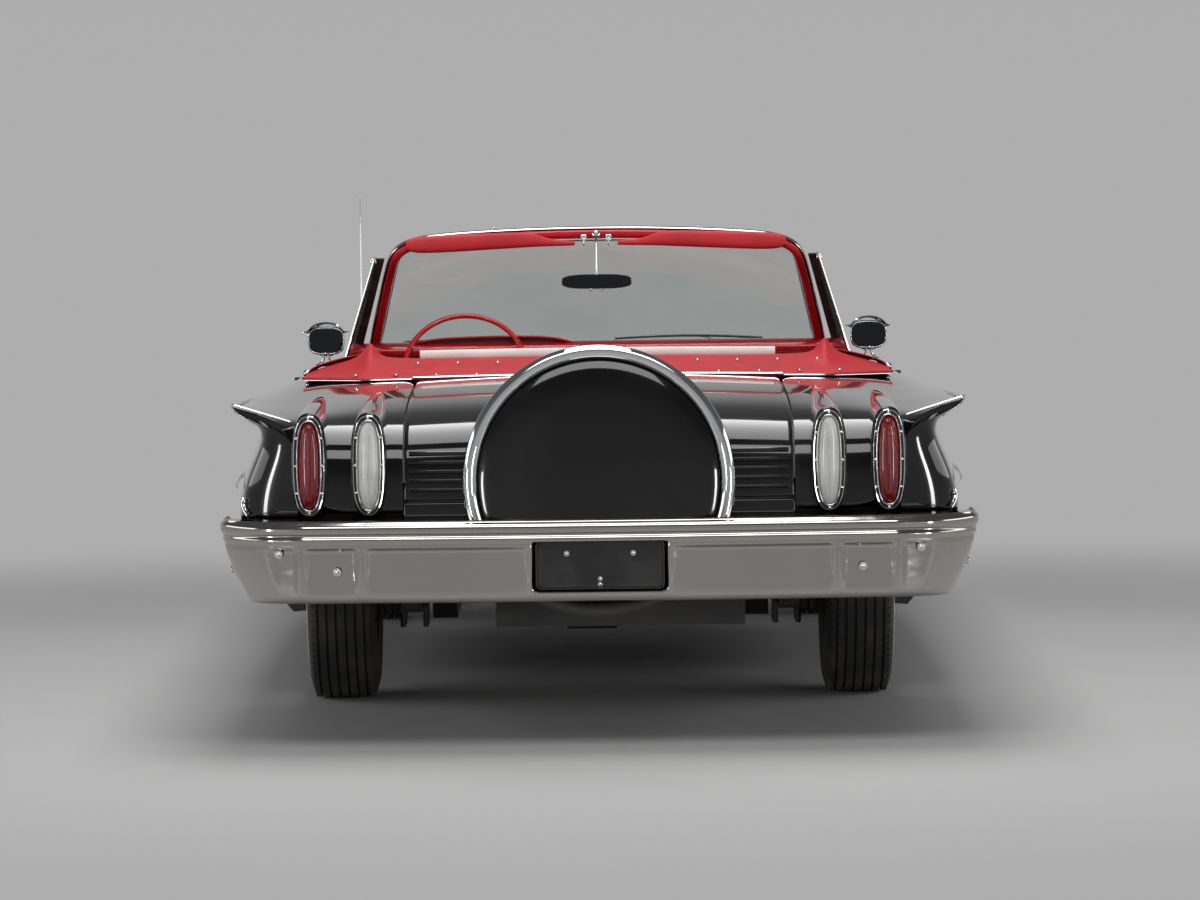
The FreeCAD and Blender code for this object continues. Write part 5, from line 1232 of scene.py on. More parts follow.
# ---------------------------------------------------------------- dashboard and steering
def dash():
    section = [(955, 1001), (930, 1005), (870, 1007), (832, 1003), (806, 994), (796, 982), (800, 968),
               (812, 962), (828, 958), (832, 940), (830, 905), (824, 898), (800, 890), (799, 872), (816, 850),
               (838, 800), (880, 764), (955, 764)]
    rows = []
    for x in (-820, -816, -700, -400, 0, 400, 700, 816, 820):
        squeeze = 0.97 if abs(x) > 817 else 1.0
        rows.append([(x, 880 + (y - 880) * squeeze, 900 + (z - 900) * squeeze) for y, z in section])
    mesh = shaped(loft(rows, closed=True, cap=True), smooth=2)
    fit("dash_shell", mesh, RED_ENAMEL, replaces=["dashboard"])
    brow = [(-652, 985), (-620, 1004), (-560, 1017), (-480, 1023), (-320, 1026), (-180, 1025), (-110, 1014),
            (-62, 994)]
    rows = [[(x, 826, z - 7), (x, 822, z), (x, 830, z + 3), (x, 880, z - 1), (x, 930, 1001), (x, 930, 992),
             (x, 860, z - 12)]
            for x, z in brow]
    fit("dash_brow", shaped(loft(rows, closed=True, cap=True), smooth=2), RED_ENAMEL)
    # Painted shade: a black sheet hung under the brow, where the brow's shade falls above the dials.
    shade = [(-640, 984), (-560, 1010), (-480, 1016), (-180, 1018), (-110, 1007), (-72, 990)]
    rows = [[(x, 846, 975), (x, 846, z), (x, 854, z), (x, 854, 975)] for x, z in shade]
    fit("dash_brow_shade", loft(rows, closed=True, cap=True), RECESS_BLACK)
    fit("dash_silver_panel", block((-640, 824, 903), (790, 832, 952), 3), SILVER)
    dials, faces, needles = [], [], []
    for x, radius in ((-600, 26), (-440, 40), (-285, 26), (60, 20), (300, 28)):
        centre = (x, 822, 928)
        rim = [(radius, -2), (radius + 4, 4), (radius + 3, 8), (radius, 8), (radius - 1, 2)]
        dials.append(turned(rim, centre, BEHIND, 40, closed=True))
        faces.append(turned([(0, 1), (radius - 1, 1), (radius - 1, -1)], centre, BEHIND, 40))
        for i in range(11):
            t = math.radians(215 - 25 * i)
            inner, outer = radius * 0.74, radius * 0.9
            ends = [(x + r * math.cos(t), 820.4, 928 + r * math.sin(t)) for r in (inner, outer)]
            needles.append(sweep(ends, [(-0.6, -0.4), (0.6, -0.4), (0.6, 0.4), (-0.6, 0.4)], up=AHEAD))
        t = math.radians(215 - 25 * (radius % 4 + 1))
        hand = [(x, 819, 928), (x + radius * 0.7 * math.cos(t), 819, 928 + radius * 0.7 * math.sin(t))]
        needles.append(sweep(hand, circle(0.9, 6), up=AHEAD))
    knob = [(0, 20), (7, 19), (9, 15), (6, 4), (11, 0), (11, -3)]
    for x in (-700, -520, -360, -200, -120, 140, 200, 470, 700):
        dials.append(turned(knob, (x, 800, 882), BEHIND, 20))
    fit("dash_bright_parts", joined(dials), CHROME)
    fit("dash_dial_faces", joined(faces), RECESS_BLACK)
    fit("dash_dial_marks", joined(needles), WHITE_WALL)
    grille = [block((x - 3, 822, 912), (x + 3, 826, 944), 1) for x in range(130, 250, 14)]
    fit("dash_speaker_bars", joined(grille), CHROME)


COLUMN_DOWN = Vector((0, math.cos(math.radians(30)), -math.sin(math.radians(30))))
WHEEL_CENTRE = Vector((-440, 740, 918))


def on_column(distance):
    return WHEEL_CENTRE + COLUMN_DOWN * distance


def steering():
    basis = Matrix((RIGHT, -COLUMN_DOWN.cross(Vector(RIGHT)), -COLUMN_DOWN)).transposed().to_4x4()
    place = Matrix.Translation(WHEEL_CENTRE * MM) @ basis
    spokes = []
    for side in (-1, 1):
        points = [(side * 26, -6, -8), (side * 90, -12, -16), (side * 160, -6, -8), (side * 200, 2, 0)]
        rib = sweep(points, [(-9, -5), (9, -5), (12, 0), (8, 5), (-8, 5), (-12, 0)])
        rib.transform(place)
        spokes.append(rib)
    hub = turned([(0, 10), (24, 8), (34, 0), (38, -14), (36, -26), (30, -34), (0, -36)], (0, 0, 0), steps=40)
    hub.transform(place)
    rim = turned([(203 + out, up) for out, up in circle(9, 12)], (0, 0, 0), steps=72, closed=True)
    rim.transform(place)
    fit("steering_rim", shaped(joined([rim, *spokes, hub]), smooth=1), RED_RIM, "steering_wheel",
        ["steering_wheel"])
    cap = turned([(0, 16), (12, 15), (20, 12), (24, 8), (24, 4)], (0, 0, 0), steps=32)
    arc = [(128 * math.cos(t), -128 * math.sin(t), 4) for t in (math.pi * i / 24 for i in range(25))]
    horn = sweep([(20, 0, 10), (60, 0, 6), (118, 0, 4)] + arc + [(-118, 0, 4), (-60, 0, 6), (-20, 0, 10)],
                 circle(3.5, 8))
    horn.transform(place)
    cap.transform(place)
    fit("horn_ring", joined([horn, cap]), CHROME, "steering_wheel")
    tube = [(0, 0), (26, 0), (30, 6), (30, 60), (27, 66), (27, 240), (30, 250), (30, 420), (0, 420)]
    jacket = turned(tube, on_column(44), COLUMN_DOWN, 40)
    fit("column_jacket", jacket, RED_ENAMEL, replaces=["steering_column"])
    stalks, knobs = [], []
    for side, length in ((-1, 120), (1, 170)):
        root = on_column(80)
        tip = root + Vector((side * length, -10, 26))
        stalks.append(sweep([root, root + Vector((side * 60, -4, 12)), tip], circle(3.5, 10)))
        knobs.append(turned([(0, 14), (6, 12), (9, 4), (7, -8), (4, -14)], tip, (side, -0.1, 0.2), 20))
    fit("column_stalks", joined(stalks), CHROME)
    fit("column_knobs", joined(knobs), RED_RIM)
    pads = [block((-420, 1120, 400), (-350, 1136, 450), 5), block((-560, 1120, 400), (-500, 1136, 450), 5),
            block((-275, 1075, 345), (-225, 1092, 470), 5)]
    fit("pedal_pads", joined(pads), RUBBER)
    arms = [sweep([(x, 1136, 430), (x, 1150, 520), (x, 1140, 700)], circle(7, 8), up=RIGHT)
            for x in (-385, -530)]
    fit("pedal_arms", joined(arms), DULL_STEEL)


# ---------------------------------------------------------------- upholstery
def inflated(mesh, voxel, limit):
    """Fills a cushion with cloth simulation, no point moving further than limit."""
    obj = bpy.data.objects.new("pad", mesh)
    bpy.context.scene.collection.objects.link(obj)
    mod = obj.modifiers.new("remesh", "REMESH")
    mod.mode, mod.voxel_size = "VOXEL", voxel * MM
    graph = bpy.context.evaluated_depsgraph_get()
    plain = bpy.data.meshes.new_from_object(obj.evaluated_get(graph))
    bpy.data.objects.remove(obj)
    obj = bpy.data.objects.new("pad", plain)
    bpy.context.scene.collection.objects.link(obj)
    start = [v.co.copy() for v in plain.vertices]
    cloth = obj.modifiers.new("cloth", "CLOTH")
    cloth.settings.quality = 4
    cloth.settings.use_pressure = True
    cloth.settings.uniform_pressure_force = 4.0
    cloth.settings.effector_weights.gravity = 0.0
    cloth.point_cache.frame_start, cloth.point_cache.frame_end = 1, 20
    scene = bpy.context.scene
    for step in range(1, 21):
        scene.frame_set(step)
    swollen = bpy.data.meshes.new_from_object(obj.evaluated_get(bpy.context.evaluated_depsgraph_get()))
    bpy.data.objects.remove(obj)
    scene.frame_set(1)
    for vert, old in zip(swollen.vertices, start):
        move = vert.co - old
        if move.length > limit * MM:
            vert.co = old + move.normalized() * limit * MM
    return swollen


def sewn(mesh, depth_at):
    """Pulls the surface in along its seams: depth_at takes a point and its normal, in mm."""
    bm = bmesh.new()
    bm.from_mesh(mesh)
    bm.normal_update()
    moves = [(v, v.normal * -depth_at(v.co / MM, v.normal)) for v in bm.verts]
    for vert, move in moves:
        vert.co += move * MM
    return bm


def channel(away, depth, width):
    """How deep a sewn channel is at some distance from its middle."""
    return depth * math.exp(-((away / width) ** 2))


def pleats(position, spacing=50, depth=7):
    """How deep a row of sewn channels is at one place across them."""
    near = (position / spacing + 0.5) % 1 - 0.5
    return channel(near * spacing, depth, 7.0)


def cushion(rows, seams):
    """A filled and sewn cushion from the rows of its outline."""
    plump = inflated(shaped(loft(rows, closed=True, cap=True), smooth=2), 13, 24)
    return shaped(sewn(plump, seams), smooth=1, sharp_angle=80)


def tapered(x, half, amount):
    """A cushion's outline pulled in towards its ends."""
    return 1 - amount * (abs(x) / half) ** 6


def front_seat():
    stations = [-672, -640, -480, -240, -20, 20, 240, 480, 640, 672]
    base, back = [], []
    for x in stations:
        k = tapered(x, 672, 0.10)
        dip = 10 * math.exp(-(x / 30) ** 2)
        outline = [(206, 334), (206, 470), (214, 528), (300, 536 - dip), (480, 548 - dip), (600, 546),
                   (640, 520), (646, 440), (636, 334)]
        base.append([(x, 430 + (y - 430) * k, 334 + (z - 334) * k) for y, z in outline])
        outline = [(182, 574), (156, 660), (118, 790), (88, 900), (66, 928), (42, 932), (26, 910), (34, 800),
                   (58, 640), (84, 500), (150, 484), (178, 520)]
        back.append([(x, 105 + (y - 105) * (0.9 + 0.1 * k), 484 + (z - 484) * k) for y, z in outline])

    def base_seams(p, n):
        deep = pleats(p.x) if n.z > 0.5 and 250 < p.y < 590 and abs(p.x) < 600 else 0.0
        return deep + channel(p.y - 596, 6, 6) * (n.z > 0.3) + channel(abs(p.x) - 618, 5, 6) * (n.z > 0.3)

    def back_seams(p, n):
        deep = pleats(p.x) if n.y > 0.5 and 580 < p.z < 850 and abs(p.x) < 600 else 0.0
        if p.z > 600:
            deep += channel(p.z - 862, 6, 6) * (n.y > 0.2)
            deep += channel(abs(p.x) - 618, 5, 6) * (n.y > 0.2)
            deep += channel(p.x, 8, 7)
        return deep

    seat = fit("front_seat_cushion", cushion(base, base_seams), VINYL, replaces=["front_seat"])
    rest = fit("front_seat_back", cushion(back, back_seams), VINYL)
    strips = [sweep([(x * 0.988, 20, 612), (x, 6, 760), (x * 0.995, 12, 880)], half_round(8, 4), up=BEHIND)
              for x in (-640, 640)]
    rail = [sweep([(x, 240, 322), (x, 620, 322)], [(-14, -4), (14, -4), (14, 6), (-14, 6)])
            for x in (-420, 420)]
    fit("front_seat_rails", joined(rail), DULL_STEEL)
    shield = ((630, 330), (630, 392), (214, 402), (120, 560), (84, 560), (70, 400), (200, 330))
    for side in (1, -1):
        rows = [[(side * x, y, z) for y, z in shield] for x in (692, 702)]
        strips.append(loft(rows, closed=True, cap=True))
    fit("front_seat_side_shields", shaped(joined(strips), round_by=2), SILVER)


def rear_seat():
    base, back = [], []
    for x in (-580, -550, -400, -200, 0, 200, 400, 550, 580):
        k = tapered(x, 580, 0.08)
        outline = [(-606, 336), (-606, 470), (-596, 540), (-500, 556), (-330, 568), (-246, 566), (-222, 530),
                   (-220, 430), (-228, 336)]
        base.append([(x, -414 + (y + 414) * k, 336 + (z - 336) * k) for y, z in outline])
    for x in (-662, -630, -500, -250, 0, 250, 500, 630, 662):
        k = tapered(x, 662, 0.10)
        outline = [(-640, 660), (-656, 780), (-686, 900), (-712, 924), (-742, 926), (-758, 900), (-752, 780),
                   (-744, 660), (-700, 646)]
        if abs(x) < 560:
            outline[0], outline[7], outline[8] = (-638, 590), (-744, 590), (-700, 580)
        back.append([(x, -700 + (y + 700) * (0.9 + 0.1 * k), 590 + (z - 590) * k) for y, z in outline])

    def base_seams(p, n):
        deep = pleats(p.x) if n.z > 0.5 and -560 < p.y < -290 and abs(p.x) < 520 else 0.0
        return deep + channel(p.y + 282, 6, 6) * (n.z > 0.3) + channel(p.x, 7, 7) * (n.z > 0.3)

    def back_seams(p, n):
        deep = pleats(p.x) if n.y > 0.5 and 600 < p.z < 850 and abs(p.x) < 600 else 0.0
        return deep + channel(p.z - 858, 6, 6) * (n.y > 0.2) + channel(p.x, 7, 7) * (n.y > 0.2)

    seat = fit("rear_seat_cushion", cushion(base, base_seams), VINYL, replaces=["rear_seat"])
    rest = fit("rear_seat_back", cushion(back, back_seams), VINYL)


def rear_sides():
    rows = []
    for y in (-617, -600, -420, -300, -222, -206):
        out = 0 if -610 < y < -215 else 6
        rows.append([
            (604 + out, y, 320), (622 + out, y, 420), (664 + out, y, 560), (694 + out, y, 622),
            (704 + out, y, 648), (716, y, 652 - out), (738, y, 646 - out), (752, y, 690), (766, y, 800),
            (778 + out, y, 896), (792, y, 916 - out), (826, y, 918 - out), (832, y, 900), (832, y, 320),
        ])
    mesh = shaped(loft(rows, closed=True, cap=True, sharp={0: 1, 13: 1}), smooth=2)
    side = fit_pair("rear_side_pad", mesh, VINYL)
    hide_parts("rear_side_trim")
    strips = [sweep([(759 + (z - 700) * 0.13, y, z) for y in (-596, -420, -226)], half_round(5, 4),
                    up=(-1, 0, 0.12))
              for z in (706, 742)]
    tray = block((706, -470, 650), (734, -380, 655), 2)
    fit_pair("rear_side_strips", joined([*strips, tray]), CHROME)


def door_insides():
    """The closed shell of each door, its upholstered panel and the handles on it."""
    rows = []
    for row in side_rows("door", 1464, -834):
        y = row[0][1]
        points = []
        for i, (x, _, z) in enumerate(row):
            points.append((max(x - 12, 851), z - (11 if i < 5 else 6 if i == 5 else 0)))
        points += [(920, row[-1][2] + 8), (853, row[-1][2] + 12), (851, 600)]
        rows.append([(x, y, z) for x, z in points])
    mesh = shaped(loft(rows, closed=True, sharp={0: 1, 12: 0.8, 14: 1}), smooth=2)
    bm = bmesh.new()
    bm.from_mesh(mesh)
    for y, front in ((1141, False), (-191, True)):
        cut_off(bm, (0, y, 0), AHEAD, front)
        edges = [e for e in bm.edges if e.is_boundary and all(abs(v.co.y - y * MM) < 1e-5 for v in e.verts)]
        bmesh.ops.contextual_create(bm, geom=edges)
    bmesh.ops.recalc_face_normals(bm, faces=bm.faces)
    fit_pair("door_shell", shaped(bm, round_by=1.5), BLACK, DOORS)
    fit_pair("door_panel", block((837, -182, 330), (851, 1128, 926), 6), VINYL, DOORS)
    tufts = joined([block((832, y - 23, 560), (842, y + 23, 780), 9, 4) for y in range(-130, 1090, 48)])
    for pad in fit_pair("door_pleats", tufts, VINYL, DOORS):
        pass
    rest = loft([
        [(848, y, 612), (800 + out, y, 606 + out * 0.3), (780 + out, y, 622), (778 + out, y, 650),
         (794 + out, y, 664), (848, y, 668)]
        for y, out in ((160, 34), (185, 8), (240, 0), (480, 0), (560, 10), (600, 36))
    ], closed=True, cap=True)
    for pad in fit_pair("arm_rest", shaped(rest, smooth=2), VINYL, DOORS):
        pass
    parts = [block((834, -176, z - 5), (838, 1122, z + 5), 1.5) for z in (545, 795)]
    for y, length, z in ((330, 110, 740), (760, 90, 700)):
        parts.append(turned([(0, 26), (12, 25), (16, 18), (18, 0), (18, -6)], (836, y, z), (-1, 0, 0), 24))
        line = [(814, y, z), (808, y + length * 0.5, z - 6), (806, y + length, z - 16)]
        parts.append(sweep(line, [(-7, -3), (7, -3), (8, 0), (7, 3), (-7, 3), (-8, 0)]))
        knob = [(0, 24), (8, 22), (10, 12), (8, 0)]
        parts.append(turned(knob, (808, y + length - 6, z - 14), (-1, 0, 0), 16))
    fit_pair("door_bright_parts", joined(parts), CHROME, DOORS)
    ledge = sweep([(852, y, 938) for y in (-186, 100, 500, 900, 1120)],
                  [(-16, -20), (14, -20), (14, 6), (4, 12), (-14, 8), (-18, -4)])
    fit_pair("door_top_ledge", shaped(ledge, smooth=1), RED_ENAMEL, DOORS)
    handle = [(1022, 60, 800), (1046, 64, 802), (1050, 110, 803), (1050, 180, 803), (1044, 214, 803),
              (1024, 220, 802)]
    outer = [sweep(handle, circle(7, 12, 1.3)),
             turned([(0, 14), (10, 13), (13, 8), (14, 0), (14, -8)], (1030, 96, 770), (1, 0, 0.1), 24)]
    fit_pair("door_handle", shaped(joined(outer), smooth=1), CHROME, DOORS)


def end_plates():
    """The sheets that close the body's sides at the door openings."""
    for name, kind, opening, y, deep, inner in (
        ("rear_jamb", "lid", DOOR_REAR, -207, -10, 834), ("front_jamb", "hood", DOOR_FRONT, 1174, 10, 905)
    ):
        section = next(s for s in SIDE if s[0] == opening)
        ring = [(max(inner, x - 13), z - 12) for x, _, z in side_row(section, kind)] + [(inner, 306)]
        rows = [[(x, place, z) for x, z in ring] for place in (y, y + deep)]
        fit_pair(name, loft(rows, closed=True, cap=True), BLACK)
    strips = [block((955, -208, 312), (968, -193, 880), 3), block((930, 1144, 312), (943, 1158, 880), 3),
              block((856, -208, 700), (955, -193, 930), 3)]
    fit_pair("door_weather_strips", joined(strips), RUBBER)
    sheets = [block((690, -648, 318), (842, -636, 620), 2), block((804, -636, 318), (842, -621, 880), 2)]
    fit_pair("wheel_house_side", joined(sheets), FRAME_BLACK)
    pads = [block((668, -768, 560), (806, -622, 912), 14, 4), block((690, -635, 330), (806, -622, 600), 3)]
    fit_pair("rear_corner_pad", shaped(joined(pads), smooth=1), VINYL)


# ---------------------------------------------------------------- wheels
def tyre_section():
    """Radius and distance from the wheel's middle, round one slice of the tyre."""
    wall = [(184, -84), (180, -92), (186, -98), (205, -101), (235, -106), (265, -107.5), (295, -106),
            (318, -100), (331, -94), (337, -89), (340, -85)]
    tread = []
    for groove in (-72, -44, -15, 15, 44, 72):
        crown = 344.8 - 3.0 * (groove / 80) ** 2
        tread += [(crown, groove - 4), (crown - 8, groove - 3), (crown - 8, groove + 3), (crown, groove + 4)]
    return [(r, a * 0.95) for r, a in wall + tread + [(r, -a) for r, a in reversed(wall)]]


def wheels():
    for end, y, x in (("front", FRONT_AXLE, 774.5), ("rear", REAR_AXLE, 762)):
        centre = (x, y, HUB_Z)
        bodies = (f"wheel_{end}_right", f"wheel_{end}_left")
        tyre = turned(tyre_section(), centre, RIGHT, 96, closed=True)
        teeth = []
        for i in range(90):
            t = 2 * math.pi * i / 90
            for side in (-1, 1):
                bar = block((-3.2, -2.0, -4.5), (3.2, 2.0, 4.5))
                bar.transform(Matrix.Translation(Vector((338.3, 0, side * 82.6)) * MM))
                bar.transform(Matrix.Rotation(t, 4, "Z"))
                teeth.append(bar)
        blocks = stand(joined(teeth), centre, RIGHT)
        fit_pair(f"tyre_{end}_tread", shaped(joined([tyre, blocks]), sharp_angle=28), RUBBER, bodies,
                 [f"tyre_{end}"])
        wall = [(236, 100.2), (238, 102.8), (262, 103.8), (286, 102.6), (288, 100.1)]
        fit_pair(f"whitewall_{end}", turned(wall, centre, RIGHT, 96), WHITE_WALL, bodies)
        rim = [(181, -86), (184, -80), (176, -74), (160, -68), (156, -10), (160, 60), (176, 74), (183, 80),
               (181, 86), (172, 82), (152, 64), (148, 20), (140, 12), (60, 14), (52, 4), (40, 4), (40, -44),
               (138, -44), (146, -38), (150, -66), (170, -80)]
        fit_pair(f"wheel_{end}_rim", turned(rim, centre, RIGHT, 72, closed=True), FRAME_BLACK, bodies,
                 [f"wheel_{end}"])
        cover = [(184, 84), (187, 88), (183, 93), (174, 94), (166, 88), (158, 86), (120, 92), (88, 98),
                 (84, 94), (78, 94), (70, 102), (44, 107), (0, 109)]
        fins = []
        for i in range(40):
            fin = block((92, -2.4, 90), (154, 2.4, 97), 1.6, 1)
            fin.transform(Matrix.Rotation(math.radians(4), 4, "Y"))
            fin.transform(Matrix.Rotation(2 * math.pi * i / 40, 4, "Z"))
            fins.append(fin)
        disc = joined([turned(cover, centre, RIGHT, 72), stand(joined(fins), centre, RIGHT)])
        fit_pair(f"wheel_{end}_cover", shaped(disc, sharp_angle=30), CHROME, bodies)
        hub = turned([(0, 111), (20, 110.4), (30, 108.4), (32, 106)], centre, RIGHT, 40)
        fit_pair(f"wheel_{end}_centre", hub, RED_ENAMEL, bodies)


# ---------------------------------------------------------------- nose and trim
HEADLAMPS = ((652, 86), (836, 86))


def nose():
    cuts = [turned([(0, -80), (87, -80), (87, 80), (0, 80)], (x, 2710, 668), AHEAD, 48) for x, _ in HEADLAMPS]
    rows = []
    for y, grow in ((2700, 0), (2728, 0), (2735, -6)):
        rows.append([
            (566 - grow * 0.2, y, 562 - grow), (928 + grow, y, 562 - grow), (938 + grow, y, 650),
            (928 + grow, y, 768 + grow), (900, y, 782 + grow), (566 - grow * 0.2, y, 780 + grow),
        ])
    panel = shaped(loft(rows, closed=True, cap=True), cuts=cuts, round_by=2)
    fit_pair("lamp_panel", panel, BLACK)
    rims, lenses, bowls = [], [], []
    for x, radius in HEADLAMPS:
        centre = (x, 2734, 668)
        rim = [(-2, -8), (8, -4), (9, 4), (3, 10), (-6, 9), (-10, 2)]
        rims.append(turned([(radius + out, y) for out, y in rim], centre, AHEAD, 64, closed=True))
        lens = [(0, 11), (40, 9), (66, 3), (radius - 8, -4), (radius - 8, -8)]
        lenses.append(turned(lens, centre, AHEAD, 64))
        bowls.append(turned([(0, -52), (40, -44), (68, -22), (radius - 6, -6)], centre, AHEAD, 48))
    fit_pair("headlamp_rims", joined(rims), CHROME)
    pair = fit_pair("headlamp_lens", joined(lenses), LAMP_LENS)
    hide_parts("headlamps")
    fit_pair("headlamp_bowls", joined(bowls), SILVER)
    bars = []
    for i in range(7):
        z = 582 + i * 25.5
        path = [(x, 2722 + 10 * (1 - ((x - 300) / 260) ** 2), z) for x in (48, 110, 200, 300, 400, 490, 552)]
        bars.append(sweep(path, [(-9, -3), (8, -2), (11, 0), (8, 2), (-9, 3)]))
    for x in (110, 205, 300, 395, 490):
        bars.append(block((x - 2.5, 2712, 570), (x + 2.5, 2722, 746), 1))
    ring = [(44, 562), (556, 562), (556, 753), (44, 753)]
    path = []
    for (x0, z0), (x1, z1) in zip(ring, ring[1:] + ring[:1]):
        path += [(x0 + (x1 - x0) * t, 2728, z0 + (z1 - z0) * t) for t in (0.04, 0.5, 0.96)]
    bars.append(sweep(path, [(-8, -7), (8, -7), (10, 0), (8, 7), (-8, 7)], up=AHEAD, closed=True))
    pair = fit_pair("grille_bars", shaped(joined(bars), smooth=1), CHROME)
    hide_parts("grille")
    fit_pair("grille_back", block((42, 2696, 560), (562, 2700, 756), 1), RECESS_BLACK)
    steps = ((2700, 38, 104), (2736, 38, 104), (2746, 30, 96), (2750, 14, 80))
    keel = loft([oval(y, w, h, (0, 659), 24, 4) for y, w, h in steps], closed=True, cap=True)
    fit("grille_divider", shaped(keel, smooth=1), CHROME)
    fit("nose_header", block((-566, 2696, 757), (566, 2733, 771), 5), BLACK)
    rows = []
    for x, y in ((0, 2798), (300, 2785), (600, 2756), (800, 2718), (900, 2680)):
        rows.append([
            (x, min(2690, y - 50), 566), (x, min(2722, y - 34), 562), (x, y - 20, 552), (x, y - 6, 540),
            (x, y - 6, 470),
        ])
    fit_pair("front_gravel_shelf", shaped(facing(loft(rows), (0, 0.3, 1)), smooth=2, thick=4), BLACK)


def on_side(y):
    """Across and in height, the widest part of the body's side at one place along the car."""
    for (front, *_, (x0, z0), _), (rear, *_, (x1, z1), _) in zip(SIDE, SIDE[1:]):
        if rear <= y <= front:
            t = (front - y) / (front - rear)
            return x0 + (x1 - x0) * t, z0 + (z1 - z0) * t
    return SIDE[-1][4]


def spear_runs(front, rear):
    """What a wheel opening leaves of a length of spear."""
    for axle, reach in ((FRONT_AXLE, 318), (REAR_AXLE, 300)):
        if rear < axle < front:
            return [(front, axle + reach), (axle - reach, rear)]
    return [(front, rear)]


def side_trim():
    """The bright spear along the sides, and the sill moulding."""
    for name, bodies, front, rear in (
        ("fender_spear", FIXED, 2660, 1160), ("door_spear", DOORS, 1140, -190),
        ("quarter_spear", FIXED, -210, -2330),
    ):
        bars = []
        for start, end in spear_runs(front, rear):
            steps = max(4, round((start - end) / 160))
            path = []
            for i in range(steps + 1):
                y = start + (end - start) * i / steps
                x, z = on_side(y)
                path.append((x - 2.5, y, z - 10 + 0.02 * (1150 - y)))
            bars.append(sweep(path, half_round(10, 6), up=(1, 0, 0.02)))
        fit_pair(name, shaped(joined(bars), smooth=1), CHROME, bodies)
    sill = [(985, y, 302) for y in (1140, 700, 300, -190)]
    fit_pair("door_sill_moulding", sweep(sill, half_round(8, 5), up=RIGHT), CHROME, DOORS)


# ---------------------------------------------------------------- engine bay
def leaned(bm, centre, degrees, axis="Y"):
    """Leans a part made at the origin and puts it in its place."""
    bm.transform(Matrix.Translation(Vector(centre) * MM) @ Matrix.Rotation(math.radians(degrees), 4, axis))
    return bm


def engine():
    """A V engine with its covers, air cleaner, fan and generator."""
    castings = [block((-130, 1520, 248), (130, 2150, 420), 16),
                block((-190, 1500, 400), (190, 2170, 560), 12),
                block((-95, 1590, 600), (95, 2080, 662), 12), block((-52, 1765, 660), (52, 1885, 716), 6),
                block((-48, 2080, 560), (48, 2168, 690), 14)]
    covers, caps = [], []
    for side in (-1, 1):
        head = block((-75, -305, -64), (75, 305, 64), 8)
        castings.append(leaned(head, (side * 151, 1822, 613), side * 38))
        cover = block((-60, -290, -30), (60, 290, 30), 16, 4)
        covers.append(leaned(cover, (side * 210, 1822, 688), side * 38))
        outlet = [(side * 244, y, 560 - (16 if y in (1560, 2060) else 0))
                  for y in (1560, 1680, 1820, 1960, 2060)]
        castings.append(sweep(outlet, circle(27, 12)))
        for y in (1600, 1750, 1890, 2040):
            castings.append(sweep([(side * 196, y, 588), (side * 240, y, 560)], circle(24, 12)))
        nut = [(0, 8), (9, 7), (10, 0), (10, -4)]
        for y in (1590, 2050):
            caps.append(turned(nut, (side * 231, y, 711), (side * 0.62, 0, 0.79), 16))
    filler = [(0, 26), (20, 25), (24, 18), (24, 0), (18, -6)]
    caps.append(turned(filler, (-224, 2000, 706), (-0.62, 0, 0.79), 28))
    caps.append(turned([(0, 14), (6, 12), (7, 4), (16, 2), (18, -4)], (0, 1825, 779), UP, 20))
    large = [(0, 26), (70, 26), (76, 20), (70, 13), (76, 6), (70, 0), (0, 0)]
    pulleys = [turned(large, (0, 2172, z), AHEAD, 40) for z in (380, 560)]
    small = [(0, 24), (40, 24), (44, 18), (38, 12), (44, 6), (40, 0), (0, 0)]
    pulleys.append(turned(small, (218, 2172, 470), AHEAD, 32))
    generator = [(0, 0), (58, 0), (62, 8), (62, 180), (56, 190), (0, 190)]
    pulleys.append(turned(generator, (218, 1978, 470), AHEAD, 40))
    fit("engine_castings", joined(castings), CAST, replaces=["engine_block"])
    fit("rocker_covers", joined(covers), SILVER)
    fit("engine_caps", joined(caps), CHROME)
    fit("engine_pulleys", joined(pulleys), DULL_STEEL)
    pan = [(0, 36), (60, 36), (150, 33), (178, 28), (188, 20), (190, -16), (184, -26), (150, -31), (50, -34),
           (0, -34)]
    cleaner = turned(pan, (0, 1825, 744), UP, 64)
    snout = sweep([(96, 1920, 742), (150, 1990, 742), (200, 2080, 742)],
                  [(-34, -19), (0, -22), (34, -19), (38, 0), (34, 19), (0, 22), (-34, 19), (-38, 0)])
    distributor = [(0, 62), (20, 61), (40, 48), (44, 10), (44, -14), (30, -20), (30, -90)]
    spark = turned(distributor, (40, 1560, 690), UP, 32)
    fit("air_cleaner", joined([cleaner, snout, spark]), BLACK)
    fan = (0, 2236, 560)
    blades = [turned([(0, 14), (40, 14), (46, 6), (46, -26), (0, -26)], fan, AHEAD, 32)]
    for i in range(4):
        blade = leaned(block((-36, -2, 40), (36, 2, 205), 1.5), (0, 0, 0), 24, "Z")
        blades.append(leaned(blade, fan, 45 + 90 * i))
    fit("engine_fan", joined(blades), DULL_STEEL)


